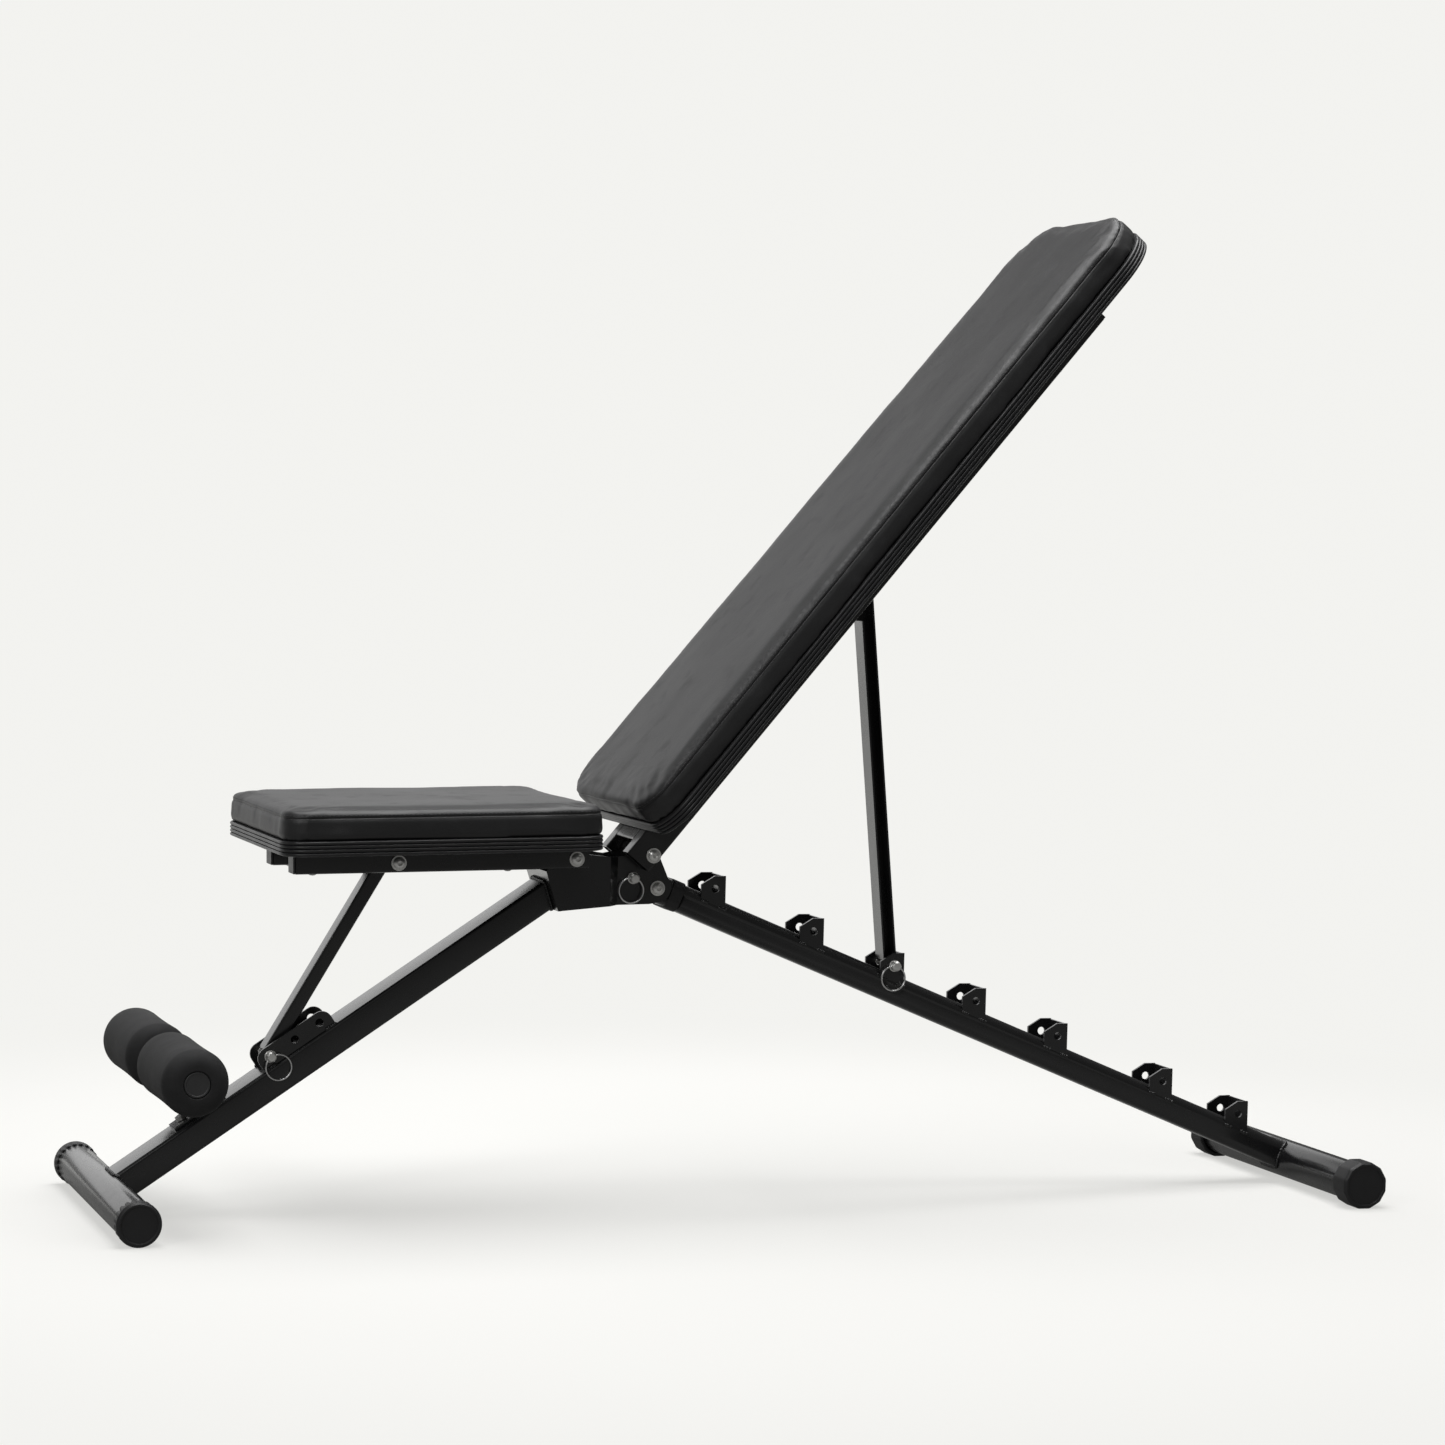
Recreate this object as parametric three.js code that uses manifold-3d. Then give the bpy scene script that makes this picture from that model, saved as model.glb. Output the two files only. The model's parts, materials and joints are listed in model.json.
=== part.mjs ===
// Adjustable weight bench: a folding A-frame of oval steel tube, a hinged seat and a hinged
// backrest, each propped by a strut whose foot drops over a quick-release pin.
// Millimetres. +X runs along the bench from the foam rollers to the rear foot, +Z is up, and the
// origin is on the floor at the middle of the bench. "near" pieces are at -Y, "far" ones at +Y.
import * as THREE from 'three';
import { mergeVertices } from 'three/addons/utils/BufferGeometryUtils.js';
import Module from 'manifold-3d';

const wasm = await Module();
wasm.setup();

// ---- Driving dimensions -------------------------------------------------------------------
const OVERALL_LENGTH = 1398;            // front cap to rear cap
const FOOT_WIDTH = 400;                 // both foot bars, over their caps
const FOOT_TUBE_RADIUS = 21;
const FRONT_CAP_RADIUS = 23;
const REAR_CAP_RADIUS = 25.5;           // across the flats
const TUBE_WALL = 2;

const LEG_WIDTH = 50;                   // leg tubes, across Y
const LEG_HEIGHT = 30;                  // leg tubes, in the plane of the frame
const LEG_CORNER = 10;                  // rear leg
const FRONT_LEG_CORNER = 4;
const FRONT_LEG_ANGLE = 33.8;           // rise of the front leg towards the hub, degrees

const SEAT_PIVOT = [-196.4, 374.4];     // hinge axes in the XZ plane
const BACK_PIVOT = [-106.3, 376.5];
const LEG_PIVOT = [-94.3, 339.6];
const HUB_PIN_REACH = 29.5;             // fold lock pin, beyond the leg pivot on the leg's axis

const SEAT_RISE = 1.1;                  // the seat falls this many degrees towards its front
const BACK_ANGLE = 50.1;                // backrest at rest, degrees above level

const SEAT_LENGTH = 342;
const SEAT_WIDTH = 308;
const BACK_LENGTH = 844;
const BACK_WIDTH_LOW = 302;             // backrest pad at its lower end
const BACK_WIDTH_TOP = 276;             // and at its head end
const BOARD_THICKNESS = 16;             // upholstered base board under each cushion
const CUSHION_THICKNESS = 30;

const BOLT_RADIUS = 4;                  // M8 pivot bolts
const PIN_RADIUS = 4;                   // quick-release pins
const HOLE_RADIUS = 4.5;
const PLATE = 3;                        // bracket sheet
const GAP = 0.3;                        // between pieces that touch
const HUB_FRONT_TOP = [-222, 359];      // front face of the hub, where the front leg butts on it
const HUB_FRONT_LOW = [-208, 316.5];
const RING_RADIUS = 13.5;               // pull rings, to the middle of the wire
const RING_WIRE = 1.2;

const FOAM_RADIUS = 34.5;
const FOAM_LENGTH = 164;
const SHAFT_RADIUS = 9.5;

// Rear leg bracket holes, measured down the leg from the first one.
const LADDER_STEPS = [0, 122.9, 225.1, 330.6, 437.3, 577.2, 679.4];
const LADDER_FIRST = 62.5;              // first hole, down the leg from its pivot
const HOLE_HEIGHT = 24;                 // bracket holes above the middle of the rear leg
const SEAT_HOLE_HEIGHT = 25.5;          // and above the middle of the front leg
const STRUT_STEP = 2;                   // the backrest strut stands in this bracket (from 0)
const SEAT_HOLES = [216.5, 247.5, 278.5]; // seat bracket holes, up the front leg from its foot

// ---- Materials ----------------------------------------------------------------------------
const finish = (color, roughness, metalness) => () =>
  new THREE.MeshStandardMaterial({ color, roughness, metalness });
const blackSteel = finish(0x1a1a1b, 0.35, 0.4);
const zinc = finish(0xc4c4c2, 0.28, 1.0);
const leather = finish(0x2c2c2d, 0.5, 0.0);
const foam = finish(0x303031, 0.95, 0.0);
const plastic = finish(0x141415, 0.55, 0.0);

// ---- Solids -------------------------------------------------------------------------------
const radians = THREE.MathUtils.degToRad;

function toManifold(geometry) {
  const bare = geometry.clone();
  bare.deleteAttribute('normal');
  bare.deleteAttribute('uv');
  const merged = mergeVertices(bare, 1e-4);
  return new wasm.Manifold(new wasm.Mesh({
    numProp: 3,
    vertProperties: new Float32Array(merged.attributes.position.array),
    triVerts: new Uint32Array(merged.index.array),
  }));
}

function toGeometry(manifold) {
  const mesh = manifold.getMesh();
  const geometry = new THREE.BufferGeometry();
  geometry.setAttribute('position', new THREE.BufferAttribute(mesh.vertProperties, 3));
  geometry.setIndex(new THREE.BufferAttribute(mesh.triVerts, 1));
  return geometry;
}

const cut = (body, ...tools) => toGeometry(
  tools.reduce((rest, tool) => rest.subtract(toManifold(tool)), toManifold(body)));
const join = (body, ...others) => toGeometry(
  others.reduce((whole, other) => whole.add(toManifold(other)), toManifold(body)));
const common = (a, b) => toGeometry(toManifold(a).intersect(toManifold(b)));

// A closed outline in the XZ plane, pulled along Y from y0 to y1.
function alongY(shape, y0, y1, curveSegments = 5) {
  const geometry = new THREE.ExtrudeGeometry(shape, { depth: y1 - y0, bevelEnabled: false, curveSegments });
  return geometry.rotateX(Math.PI / 2).translate(0, y1, 0);
}

// A closed outline in the YZ plane, pulled along X from x0 to x1.
function alongX(shape, x0, x1, curveSegments = 3) {
  const geometry = new THREE.ExtrudeGeometry(shape, { depth: x1 - x0, bevelEnabled: false, curveSegments });
  const turn = new THREE.Matrix4().makeBasis(
    new THREE.Vector3(0, 1, 0), new THREE.Vector3(0, 0, 1), new THREE.Vector3(1, 0, 0));
  return geometry.applyMatrix4(turn).translate(x0, 0, 0);
}

// A closed outline in the XY plane, pulled up Z from z0 to z1.
function alongZ(shape, z0, z1, curveSegments = 4) {
  return new THREE.ExtrudeGeometry(shape, { depth: z1 - z0, bevelEnabled: false, curveSegments })
    .translate(0, 0, z0);
}

function roundedRectangle(width, height, corner) {
  const [w, h, r] = [width / 2, height / 2, corner];
  const shape = new THREE.Shape();
  shape.moveTo(w - r, -h);
  shape.absarc(w - r, r - h, r, -Math.PI / 2, 0);
  shape.absarc(w - r, h - r, r, 0, Math.PI / 2);
  shape.absarc(r - w, h - r, r, Math.PI / 2, Math.PI);
  shape.absarc(r - w, r - h, r, Math.PI, 1.5 * Math.PI);
  return shape;
}

function polygon(points) {
  return new THREE.Shape(points.map(([x, y]) => new THREE.Vector2(x, y)));
}

function boredDisc(x, z, radius) {
  return new THREE.Path().absarc(x, z, radius, 0, 2 * Math.PI, true);
}

// Hollow tube along X, its outline in the YZ plane.
function tubeAlongX(width, height, corner, wall, x0, x1, curveSegments = 2) {
  const shape = roundedRectangle(width, height, corner);
  const bore = roundedRectangle(width - 2 * wall, height - 2 * wall, Math.max(corner - wall, 0.6));
  shape.holes.push(bore);
  return alongX(shape, x0, x1, curveSegments);
}

const rodAlongY = (x, z, radius, y0, y1, segments = 16) =>
  new THREE.CylinderGeometry(radius, radius, y1 - y0, segments).translate(x, (y0 + y1) / 2, z);

// A solid of revolution about Y; the profile is a list of [radius, y] from axis to axis.
const turned = (profile, segments = 16) =>
  new THREE.LatheGeometry(profile.map(([r, y]) => new THREE.Vector2(r, y)), segments);

// ---- Placing ------------------------------------------------------------------------------
const bench = new THREE.Group();

function place(parent, name, geometry, material, x = 0, z = 0, y = 0) {
  const mesh = new THREE.Mesh(geometry, material());
  mesh.name = name;
  mesh.position.set(x, y, z);
  parent.add(mesh);
  return mesh;
}

// A group at a point of the XZ plane whose own +X rises by the angle given in degrees.
function assembly([x, z], rise) {
  const group = new THREE.Group();
  group.position.set(x, 0, z);
  group.rotation.y = -radians(rise);
  bench.add(group);
  return group;
}

const sides = [['near', -1], ['far', 1]];
const frontFoot = [FRONT_CAP_RADIUS - OVERALL_LENGTH / 2, FRONT_CAP_RADIUS];
const rearFoot = [OVERALL_LENGTH / 2 - REAR_CAP_RADIUS, REAR_CAP_RADIUS];
const rearFootReach = Math.hypot(rearFoot[0] - LEG_PIVOT[0], rearFoot[1] - LEG_PIVOT[1]);
// Fall of the rear leg from the hub: its axis runs from its pivot to the middle of the foot tube.
const REAR_LEG_ANGLE = THREE.MathUtils.radToDeg(
  Math.atan2(LEG_PIVOT[1] - rearFoot[1], rearFoot[0] - LEG_PIVOT[0]));

// ---- Foot bars ----------------------------------------------------------------------------
const CAP_LENGTH = 19;                  // of each cap outside the tube
const REAR_CAP_LENGTH = 30;
const CAP_PLUG = 14;                    // of each cap inside it

function footTube() {
  const half = FOOT_WIDTH / 2 - 3;      // the caps close its ends with a 3 mm face
  const ring = new THREE.Shape().absarc(0, 0, FOOT_TUBE_RADIUS, 0, 2 * Math.PI);
  ring.holes.push(boredDisc(0, 0, FOOT_TUBE_RADIUS - TUBE_WALL));
  return alongY(ring, -half, half, 12);
}

// A cup that slips over the tube's end, open towards +Y, with its face at y = 0.
function footCap(outline, length) {
  const cup = cut(
    alongY(outline, 0, length, 2),
    rodAlongY(0, 0, FOOT_TUBE_RADIUS + 1.5 * GAP, 3 - GAP, length + 1, 24));
  const plug = rodAlongY(0, 0, FOOT_TUBE_RADIUS - TUBE_WALL - 2 * GAP, 2, CAP_PLUG, 16);
  return join(cup, plug);
}

function scallopedOutline() {
  const points = [];
  const grips = 20;
  for (let i = 0; i < 2 * grips; i += 1) {
    const angle = (i + 0.5) * Math.PI / grips - Math.PI / 2;
    const radius = FRONT_CAP_RADIUS / Math.cos(Math.PI / (2 * grips));
    const dip = i % 4 === 2 ? 0.6 : 0;
    points.push([(radius - dip) * Math.cos(angle), (radius - dip) * Math.sin(angle)]);
  }
  return polygon(points);
}

function twelveSidedOutline() {
  const points = [];
  for (let i = 0; i < 12; i += 1) {
    const angle = (i + 0.5) * Math.PI / 6;
    const radius = REAR_CAP_RADIUS / Math.cos(Math.PI / 12);
    points.push([radius * Math.cos(angle), radius * Math.sin(angle)]);
  }
  return polygon(points);
}

place(bench, 'front_foot_tube', footTube(), blackSteel, ...frontFoot);
place(bench, 'rear_foot_tube', footTube(), blackSteel, ...rearFoot);
for (const [side, sign] of sides) {
  for (const [end, outline, length, foot] of [
    ['front', scallopedOutline(), CAP_LENGTH, frontFoot],
    ['rear', twelveSidedOutline(), REAR_CAP_LENGTH, rearFoot],
  ]) {
    const cap = place(bench, `${end}_foot_cap_${side}`, footCap(outline, length), plastic,
      ...foot, sign * FOOT_WIDTH / 2);
    if (sign > 0) cap.rotation.z = Math.PI;
  }
}

// ---- Front leg ----------------------------------------------------------------------------
const FRONT_LEG_LENGTH = 580;           // before its end is cut to the hub

// Everything behind the hub's front face, in the front leg's own frame.
function behindHubFront() {
  const [[x0, z0], [x1, z1]] = [HUB_FRONT_TOP, HUB_FRONT_LOW];
  const [dx, dz] = [2 * (x1 - x0), 2 * (z1 - z0)];
  const back = alongY(polygon([
    [x0 - GAP - dx, z0 - dz], [x0 - GAP - dx + 200, z0 - dz],
    [x1 - GAP + dx + 200, z1 + dz], [x1 - GAP + dx, z1 + dz]]), -LEG_WIDTH, LEG_WIDTH);
  frontLeg.updateMatrix();
  return back.applyMatrix4(frontLeg.matrix.clone().invert());
}

const legSaddle = (end) => rodAlongY(end, 0, FOOT_TUBE_RADIUS + GAP, -LEG_WIDTH, LEG_WIDTH, 24);

const frontLeg = assembly(frontFoot, FRONT_LEG_ANGLE);
place(frontLeg, 'front_leg_tube', cut(
  tubeAlongX(LEG_WIDTH, LEG_HEIGHT, FRONT_LEG_CORNER, TUBE_WALL, 8, FRONT_LEG_LENGTH),
  legSaddle(0), behindHubFront()), blackSteel);

// The bracket that takes the seat strut: a channel on top of the leg, three holes in each ear.
const SEAT_EAR_END = 14;                // ear beyond its first and last hole
const EAR_TOP = 10.5;                   // ear above the line of its holes
const SEAT_BRACKET_FLOOR = 2;
const legTop = LEG_HEIGHT / 2 + GAP;

function seatLadderBracket() {
  const [first, , last] = SEAT_HOLES;
  const top = SEAT_HOLE_HEIGHT + EAR_TOP;
  const r = EAR_TOP + 1;
  const ear = new THREE.Shape();
  ear.moveTo(first - SEAT_EAR_END, legTop);
  ear.lineTo(last + SEAT_EAR_END, legTop);
  ear.absarc(last + SEAT_EAR_END - r, top - r, r, 0, Math.PI / 2);
  ear.absarc(first - SEAT_EAR_END + r, top - r, r, Math.PI / 2, Math.PI);
  for (const hole of SEAT_HOLES) ear.holes.push(boredDisc(hole, SEAT_HOLE_HEIGHT, HOLE_RADIUS));
  const half = LEG_WIDTH / 2 - 3;
  const floor = new THREE.BoxGeometry(last - first + 10, 2 * half - 2, SEAT_BRACKET_FLOOR)
    .translate((first + last) / 2, 0, legTop + SEAT_BRACKET_FLOOR / 2);
  return join(alongY(ear, -half, PLATE - half), alongY(ear, half - PLATE, half), floor);
}
place(frontLeg, 'seat_ladder_bracket', seatLadderBracket(), blackSteel);

// ---- Foam rollers -------------------------------------------------------------------------
const ROLLER_ALONG = 124;               // roller axis, up the front leg from its foot
const ROLLER_HEIGHT = 81;               // and above the middle of the leg tube
const ROLLER_INNER = 21;                // inner end of each roller from the middle
const BASE_LENGTH = 62;
const POST_WIDTH = 22;
const SCREW_ALONG = ROLLER_ALONG - 18;

function rollerBracket() {
  const base = new THREE.BoxGeometry(BASE_LENGTH, 30, PLATE)
    .translate(ROLLER_ALONG, 0, legTop + PLATE / 2);
  const post = new THREE.BoxGeometry(POST_WIDTH, 25, ROLLER_HEIGHT - legTop - 1)
    .translate(ROLLER_ALONG, 0, (ROLLER_HEIGHT + legTop + 1) / 2);
  const collar = rodAlongY(ROLLER_ALONG, ROLLER_HEIGHT, 15, -16, 16);
  return cut(join(base, post, collar),
    rodAlongY(ROLLER_ALONG, ROLLER_HEIGHT, SHAFT_RADIUS + GAP, -20, 20),
    new THREE.CylinderGeometry(3.3, 3.3, 10, 16).rotateX(Math.PI / 2)
      .translate(SCREW_ALONG, 0, legTop));
}
place(frontLeg, 'roller_bracket', rollerBracket(), blackSteel);

function hexScrew() {
  const head = new THREE.CylinderGeometry(6, 6, 5, 6).translate(0, 2.5, 0);
  const stem = new THREE.CylinderGeometry(3, 3, 3, 16).translate(0, -1.2, 0);
  return join(head, stem).rotateX(Math.PI / 2);
}
place(frontLeg, 'roller_bracket_screw', hexScrew(), zinc, SCREW_ALONG, legTop + PLATE + GAP);

const rollerEnd = ROLLER_INNER + FOAM_LENGTH;
const PLUG_RADIUS = 13.3;
const PLUG_DEPTH = 3;
const shaftEnd = rollerEnd - PLUG_DEPTH - 1;
const shaftRing = new THREE.Shape().absarc(0, 0, SHAFT_RADIUS, 0, 2 * Math.PI);
shaftRing.holes.push(boredDisc(0, 0, SHAFT_RADIUS - TUBE_WALL));
place(frontLeg, 'roller_shaft', alongY(shaftRing, -shaftEnd, shaftEnd, 8), blackSteel,
  ROLLER_ALONG, ROLLER_HEIGHT);

// One foam sleeve, its outer end at y = 0 and its body towards +Y: rounded shoulders, a bore
// for the shaft, and a shallow seat in the outer end for the plug.
function foamSleeve() {
  const bore = SHAFT_RADIUS + 0.5;
  const seat = PLUG_RADIUS + 0.5;
  const [r, round] = [FOAM_RADIUS, 17];
  const profile = [[bore, PLUG_DEPTH + 1], [seat, PLUG_DEPTH + 1], [seat, 0]];
  for (let i = 0; i <= 3; i += 1) {
    const a = i * Math.PI / 6;
    profile.push([r - round + round * Math.sin(a), round - round * Math.cos(a)]);
  }
  for (let i = 3; i >= 0; i -= 1) {
    const a = i * Math.PI / 6;
    profile.push([r - round + round * Math.sin(a), FOAM_LENGTH - round + round * Math.cos(a)]);
  }
  profile.push([bore, FOAM_LENGTH], [bore, PLUG_DEPTH + 1]);
  return turned(profile, 24);
}

for (const [side, sign] of sides) {
  const sleeve = place(frontLeg, `foam_roller_${side}`, foamSleeve(), foam,
    ROLLER_ALONG, ROLLER_HEIGHT, sign * rollerEnd);
  const plug = place(frontLeg, `roller_plug_${side}`, turned([
    [0, 0.5], [PLUG_RADIUS - 1, 0.5], [PLUG_RADIUS, 1.2], [PLUG_RADIUS, PLUG_DEPTH],
    [SHAFT_RADIUS - TUBE_WALL - GAP, PLUG_DEPTH], [SHAFT_RADIUS - TUBE_WALL - GAP, 16], [0, 16],
  ]), plastic, ROLLER_ALONG, ROLLER_HEIGHT, sign * rollerEnd);
  for (const piece of [sleeve, plug]) {
    if (sign > 0) piece.rotation.z = Math.PI;
  }
}

// ---- Hub ----------------------------------------------------------------------------------
const HUB_WIDE = 42;                    // outer faces, where the seat rails pass
const HUB_NARROW = 28.3;                // outer faces, around the rear leg
const JOG_START = -151;                 // the cheeks step in between these two
const JOG_END = -139;
const HUB_LOBE = 13.5;                  // cheek around each pivot

// Outline of a cheek: round lobes about the three pivots, joined by straight edges.
function cheekOutline() {
  const [sx, sz] = SEAT_PIVOT;
  const [bx, bz] = BACK_PIVOT;
  const [lx, lz] = LEG_PIVOT;
  const r = HUB_LOBE;
  const shape = new THREE.Shape();
  shape.moveTo(...HUB_FRONT_LOW);
  shape.lineTo(-152, 321.5);
  shape.lineTo(-103, 322.5);
  shape.absarc(lx, lz, r + 2, -Math.PI / 2, radians(35));
  shape.absarc(bx, bz, r - 1, radians(0), radians(180));
  shape.lineTo(-140, 373);
  shape.lineTo(sx + 20, 377);
  shape.absarc(sx, sz, r, radians(35), radians(160));
  shape.lineTo(...HUB_FRONT_TOP);
  for (const [x, z] of [SEAT_PIVOT, BACK_PIVOT, LEG_PIVOT]) {
    shape.holes.push(boredDisc(x, z, BOLT_RADIUS + GAP));
  }
  const pin = hubPinPoint();
  shape.holes.push(boredDisc(pin[0], pin[1], HOLE_RADIUS));
  return shape;
}

function hubPinPoint() {
  const angle = radians(180 - REAR_LEG_ANGLE);
  return [LEG_PIVOT[0] + HUB_PIN_REACH * Math.cos(angle), LEG_PIVOT[1] + HUB_PIN_REACH * Math.sin(angle)];
}

function hubBracket() {
  const front = HUB_FRONT_TOP[0];
  const rear = LEG_PIVOT[0] + HUB_LOBE + 4;
  const plan = (sign) => polygon([
    [front - 1, -sign * HUB_WIDE], [JOG_START, -sign * HUB_WIDE],
    [JOG_END, -sign * HUB_NARROW], [rear, -sign * HUB_NARROW],
    [rear, -sign * (HUB_NARROW - PLATE)], [JOG_END - 1.2, -sign * (HUB_NARROW - PLATE)],
    [JOG_START - 1.2, -sign * (HUB_WIDE - PLATE)], [front - 1, -sign * (HUB_WIDE - PLATE)],
  ]);
  const slab = alongY(cheekOutline(), -HUB_WIDE - 1, HUB_WIDE + 1);
  const cheeks = sides.map(([, sign]) => common(slab, alongZ(plan(sign), 290, 420)));
  const web = alongY(polygon([
    HUB_FRONT_TOP, HUB_FRONT_LOW,
    [HUB_FRONT_LOW[0] + PLATE, HUB_FRONT_LOW[1]], [front + PLATE, HUB_FRONT_TOP[1]],
  ]), 0.5 - HUB_WIDE, HUB_WIDE - 0.5);
  return join(cheeks[0], cheeks[1], web);
}
place(bench, 'hub_bracket', hubBracket(), blackSteel);

// ---- Rear leg -----------------------------------------------------------------------------
// Its own +X runs from the hub down to the rear foot.
const STUB_REACH = 33.8;                // round end of the leg beyond its pivot
const NOTCH_MOUTH = 19.5;               // nearer side of the notch at the leg's underside
const SADDLE_RADIUS = PIN_RADIUS + 1;   // half-round seats that sit over a pin
const rearLeg = assembly(LEG_PIVOT, -REAR_LEG_ANGLE);

function rearLegTube() {
  const tube = tubeAlongX(LEG_WIDTH, LEG_HEIGHT, LEG_CORNER, TUBE_WALL, -STUB_REACH, rearFootReach - 8);
  const roundEnd = new THREE.Shape().absarc(0, 0, STUB_REACH, Math.PI / 2, 1.5 * Math.PI);
  roundEnd.lineTo(rearFootReach, -STUB_REACH);
  roundEnd.lineTo(rearFootReach, STUB_REACH);
  const half = LEG_WIDTH / 2 + 1;
  return cut(
    common(tube, alongY(roundEnd, -half, half, 10)),
    rodAlongY(0, 0, BOLT_RADIUS + GAP, -half, half),
    // The notch that hooks over the fold lock pin is open downwards, and widens to follow the
    // pin's arc, so the leg can fold.
    rodAlongY(-HUB_PIN_REACH, 0, SADDLE_RADIUS, -half, half),
    alongY(polygon([
      [-HUB_PIN_REACH - 15, 0], [-HUB_PIN_REACH - 15, -LEG_HEIGHT], [-NOTCH_MOUTH, -LEG_HEIGHT],
      [-NOTCH_MOUTH, -LEG_HEIGHT / 2], [SADDLE_RADIUS - HUB_PIN_REACH, 0]]), -half, half),
    rodAlongY(rearFootReach, 0, FOOT_TUBE_RADIUS + GAP, -half, half, 24));
}
place(rearLeg, 'rear_leg_tube', rearLegTube(), blackSteel);
place(rearLeg, 'rear_leg_sleeve', tubeAlongX(
  LEG_WIDTH + 3, LEG_HEIGHT + 3, LEG_CORNER + 1.2, 1.2, 17, 31), blackSteel);

// A ladder bracket: two five-sided ears that stand plumb on the sloping leg, joined by a web on
// their downhill side. Its origin is the middle of its hole.
function ladderBracket() {
  const rear = 11.5;
  const ear = polygon([[rear, 14], [-1, 14], [-16, 5], [-16, -22], [rear, -22]]);
  ear.holes.push(boredDisc(0, 0, HOLE_RADIUS));
  const half = LEG_WIDTH / 2;
  const web = new THREE.BoxGeometry(2.5, 2 * half - 1, 35.5).translate(rear - 1.25, 0, -4.25);
  const legAxis = new THREE.Vector2(0, -HOLE_HEIGHT).rotateAround(
    new THREE.Vector2(), -radians(REAR_LEG_ANGLE));
  const leg = alongX(roundedRectangle(LEG_WIDTH + 2 * GAP, LEG_HEIGHT + 2 * GAP, LEG_CORNER + GAP), -80, 80)
    .rotateY(radians(REAR_LEG_ANGLE)).translate(legAxis.x, 0, legAxis.y);
  const under = new THREE.BoxGeometry(160, 80, LEG_HEIGHT)
    .translate(0, 0, -LEG_HEIGHT / 2)
    .rotateY(radians(REAR_LEG_ANGLE)).translate(legAxis.x, 0, legAxis.y);
  return cut(join(alongY(ear, -half, PLATE - half), alongY(ear, half - PLATE, half), web), leg, under);
}

function ladderPoint(step) {
  const reach = LADDER_FIRST + LADDER_STEPS[step];
  const angle = radians(REAR_LEG_ANGLE);
  return [
    LEG_PIVOT[0] + reach * Math.cos(angle) + HOLE_HEIGHT * Math.sin(angle),
    LEG_PIVOT[1] - reach * Math.sin(angle) + HOLE_HEIGHT * Math.cos(angle),
  ];
}
LADDER_STEPS.forEach((_, step) => {
  place(bench, `ladder_bracket_${step + 1}`, ladderBracket(), blackSteel, ...ladderPoint(step));
});

// ---- Seat ---------------------------------------------------------------------------------
// Its own +X runs back towards the hub; the pivot is its origin.
const seat = assembly(SEAT_PIVOT, SEAT_RISE);
const SEAT_RAIL_WIDTH = 25;
const SEAT_RAIL_FRONT = -301;
const SEAT_RAIL_REAR = 14;
const SEAT_RAIL_TOP = 14.9;
const SEAT_STRUT_ALONG = -192.4;        // strut pivot in front of the seat pivot
const seatRailInner = HUB_WIDE + 0.5;
const seatRailMiddle = seatRailInner + SEAT_RAIL_WIDTH / 2;
const seatRailOuter = seatRailInner + SEAT_RAIL_WIDTH;

function squareRail(width, height, x0, x1, holes) {
  const tube = tubeAlongX(width, height, 2, 1.5, x0, x1, 1);
  return cut(tube, ...holes.map(([x, z]) => rodAlongY(x, z, BOLT_RADIUS + GAP, -width, width, 12)));
}

// Closes an open tube end: a plate over the end and a shank inside it, pointing to +X.
function railPlug(width, height) {
  return join(
    new THREE.BoxGeometry(2.5, width - 1, height - 1).translate(-1.25 - GAP, 0, 0),
    new THREE.BoxGeometry(12, width - 3.6, height - 3.6).translate(5, 0, 0));
}

const SEAT_RAIL_HEIGHT = 25;
const seatRailZ = SEAT_RAIL_TOP - SEAT_RAIL_HEIGHT / 2;
for (const [side, sign] of sides) {
  const rail = squareRail(SEAT_RAIL_WIDTH, SEAT_RAIL_HEIGHT, SEAT_RAIL_FRONT, SEAT_RAIL_REAR,
    [[0, -seatRailZ], [SEAT_STRUT_ALONG, -seatRailZ]]);
  place(seat, `seat_rail_${side}`, rail, blackSteel, 0, seatRailZ, sign * seatRailMiddle);
  place(seat, `seat_rail_plug_${side}`, railPlug(SEAT_RAIL_WIDTH, SEAT_RAIL_HEIGHT), plastic,
    SEAT_RAIL_FRONT, seatRailZ, sign * seatRailMiddle);
}

// An upholstered pad as two solids: the board with its layered edge, and the domed cushion.
// The outline is a trapezoid with round corners; x runs from low to high.
function padOutline(x0, x1, widthLow, widthHigh, cornerLow, cornerHigh) {
  const [a, b] = [widthLow / 2, widthHigh / 2];
  const [r, s] = [cornerLow, cornerHigh];
  const shape = new THREE.Shape();
  shape.moveTo(x0 + r, -a);
  shape.lineTo(x1 - s, -b);
  shape.absarc(x1 - s, s - b, s, -Math.PI / 2, 0);
  shape.absarc(x1 - s, b - s, s, 0, Math.PI / 2);
  shape.lineTo(x0 + r, a);
  shape.absarc(x0 + r, a - r, r, Math.PI / 2, Math.PI);
  shape.absarc(x0 + r, r - a, r, Math.PI, 1.5 * Math.PI);
  return shape;
}

function cushionSolid(x0, x1, widthLow, widthHigh, cornerLow, cornerHigh) {
  const bevel = 8;
  const outline = padOutline(x0 + bevel, x1 - bevel, widthLow - 2 * bevel, widthHigh - 2 * bevel,
    cornerLow - bevel, cornerHigh - bevel);
  const block = new THREE.ExtrudeGeometry(outline, {
    depth: CUSHION_THICKNESS - bevel, bevelEnabled: true, bevelThickness: bevel, bevelSize: bevel,
    bevelSegments: 2, curveSegments: 4,
  });
  const floor = new THREE.BoxGeometry(2000, 1000, 40).translate(0, 0, -20);
  return cut(block, floor);
}

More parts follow.
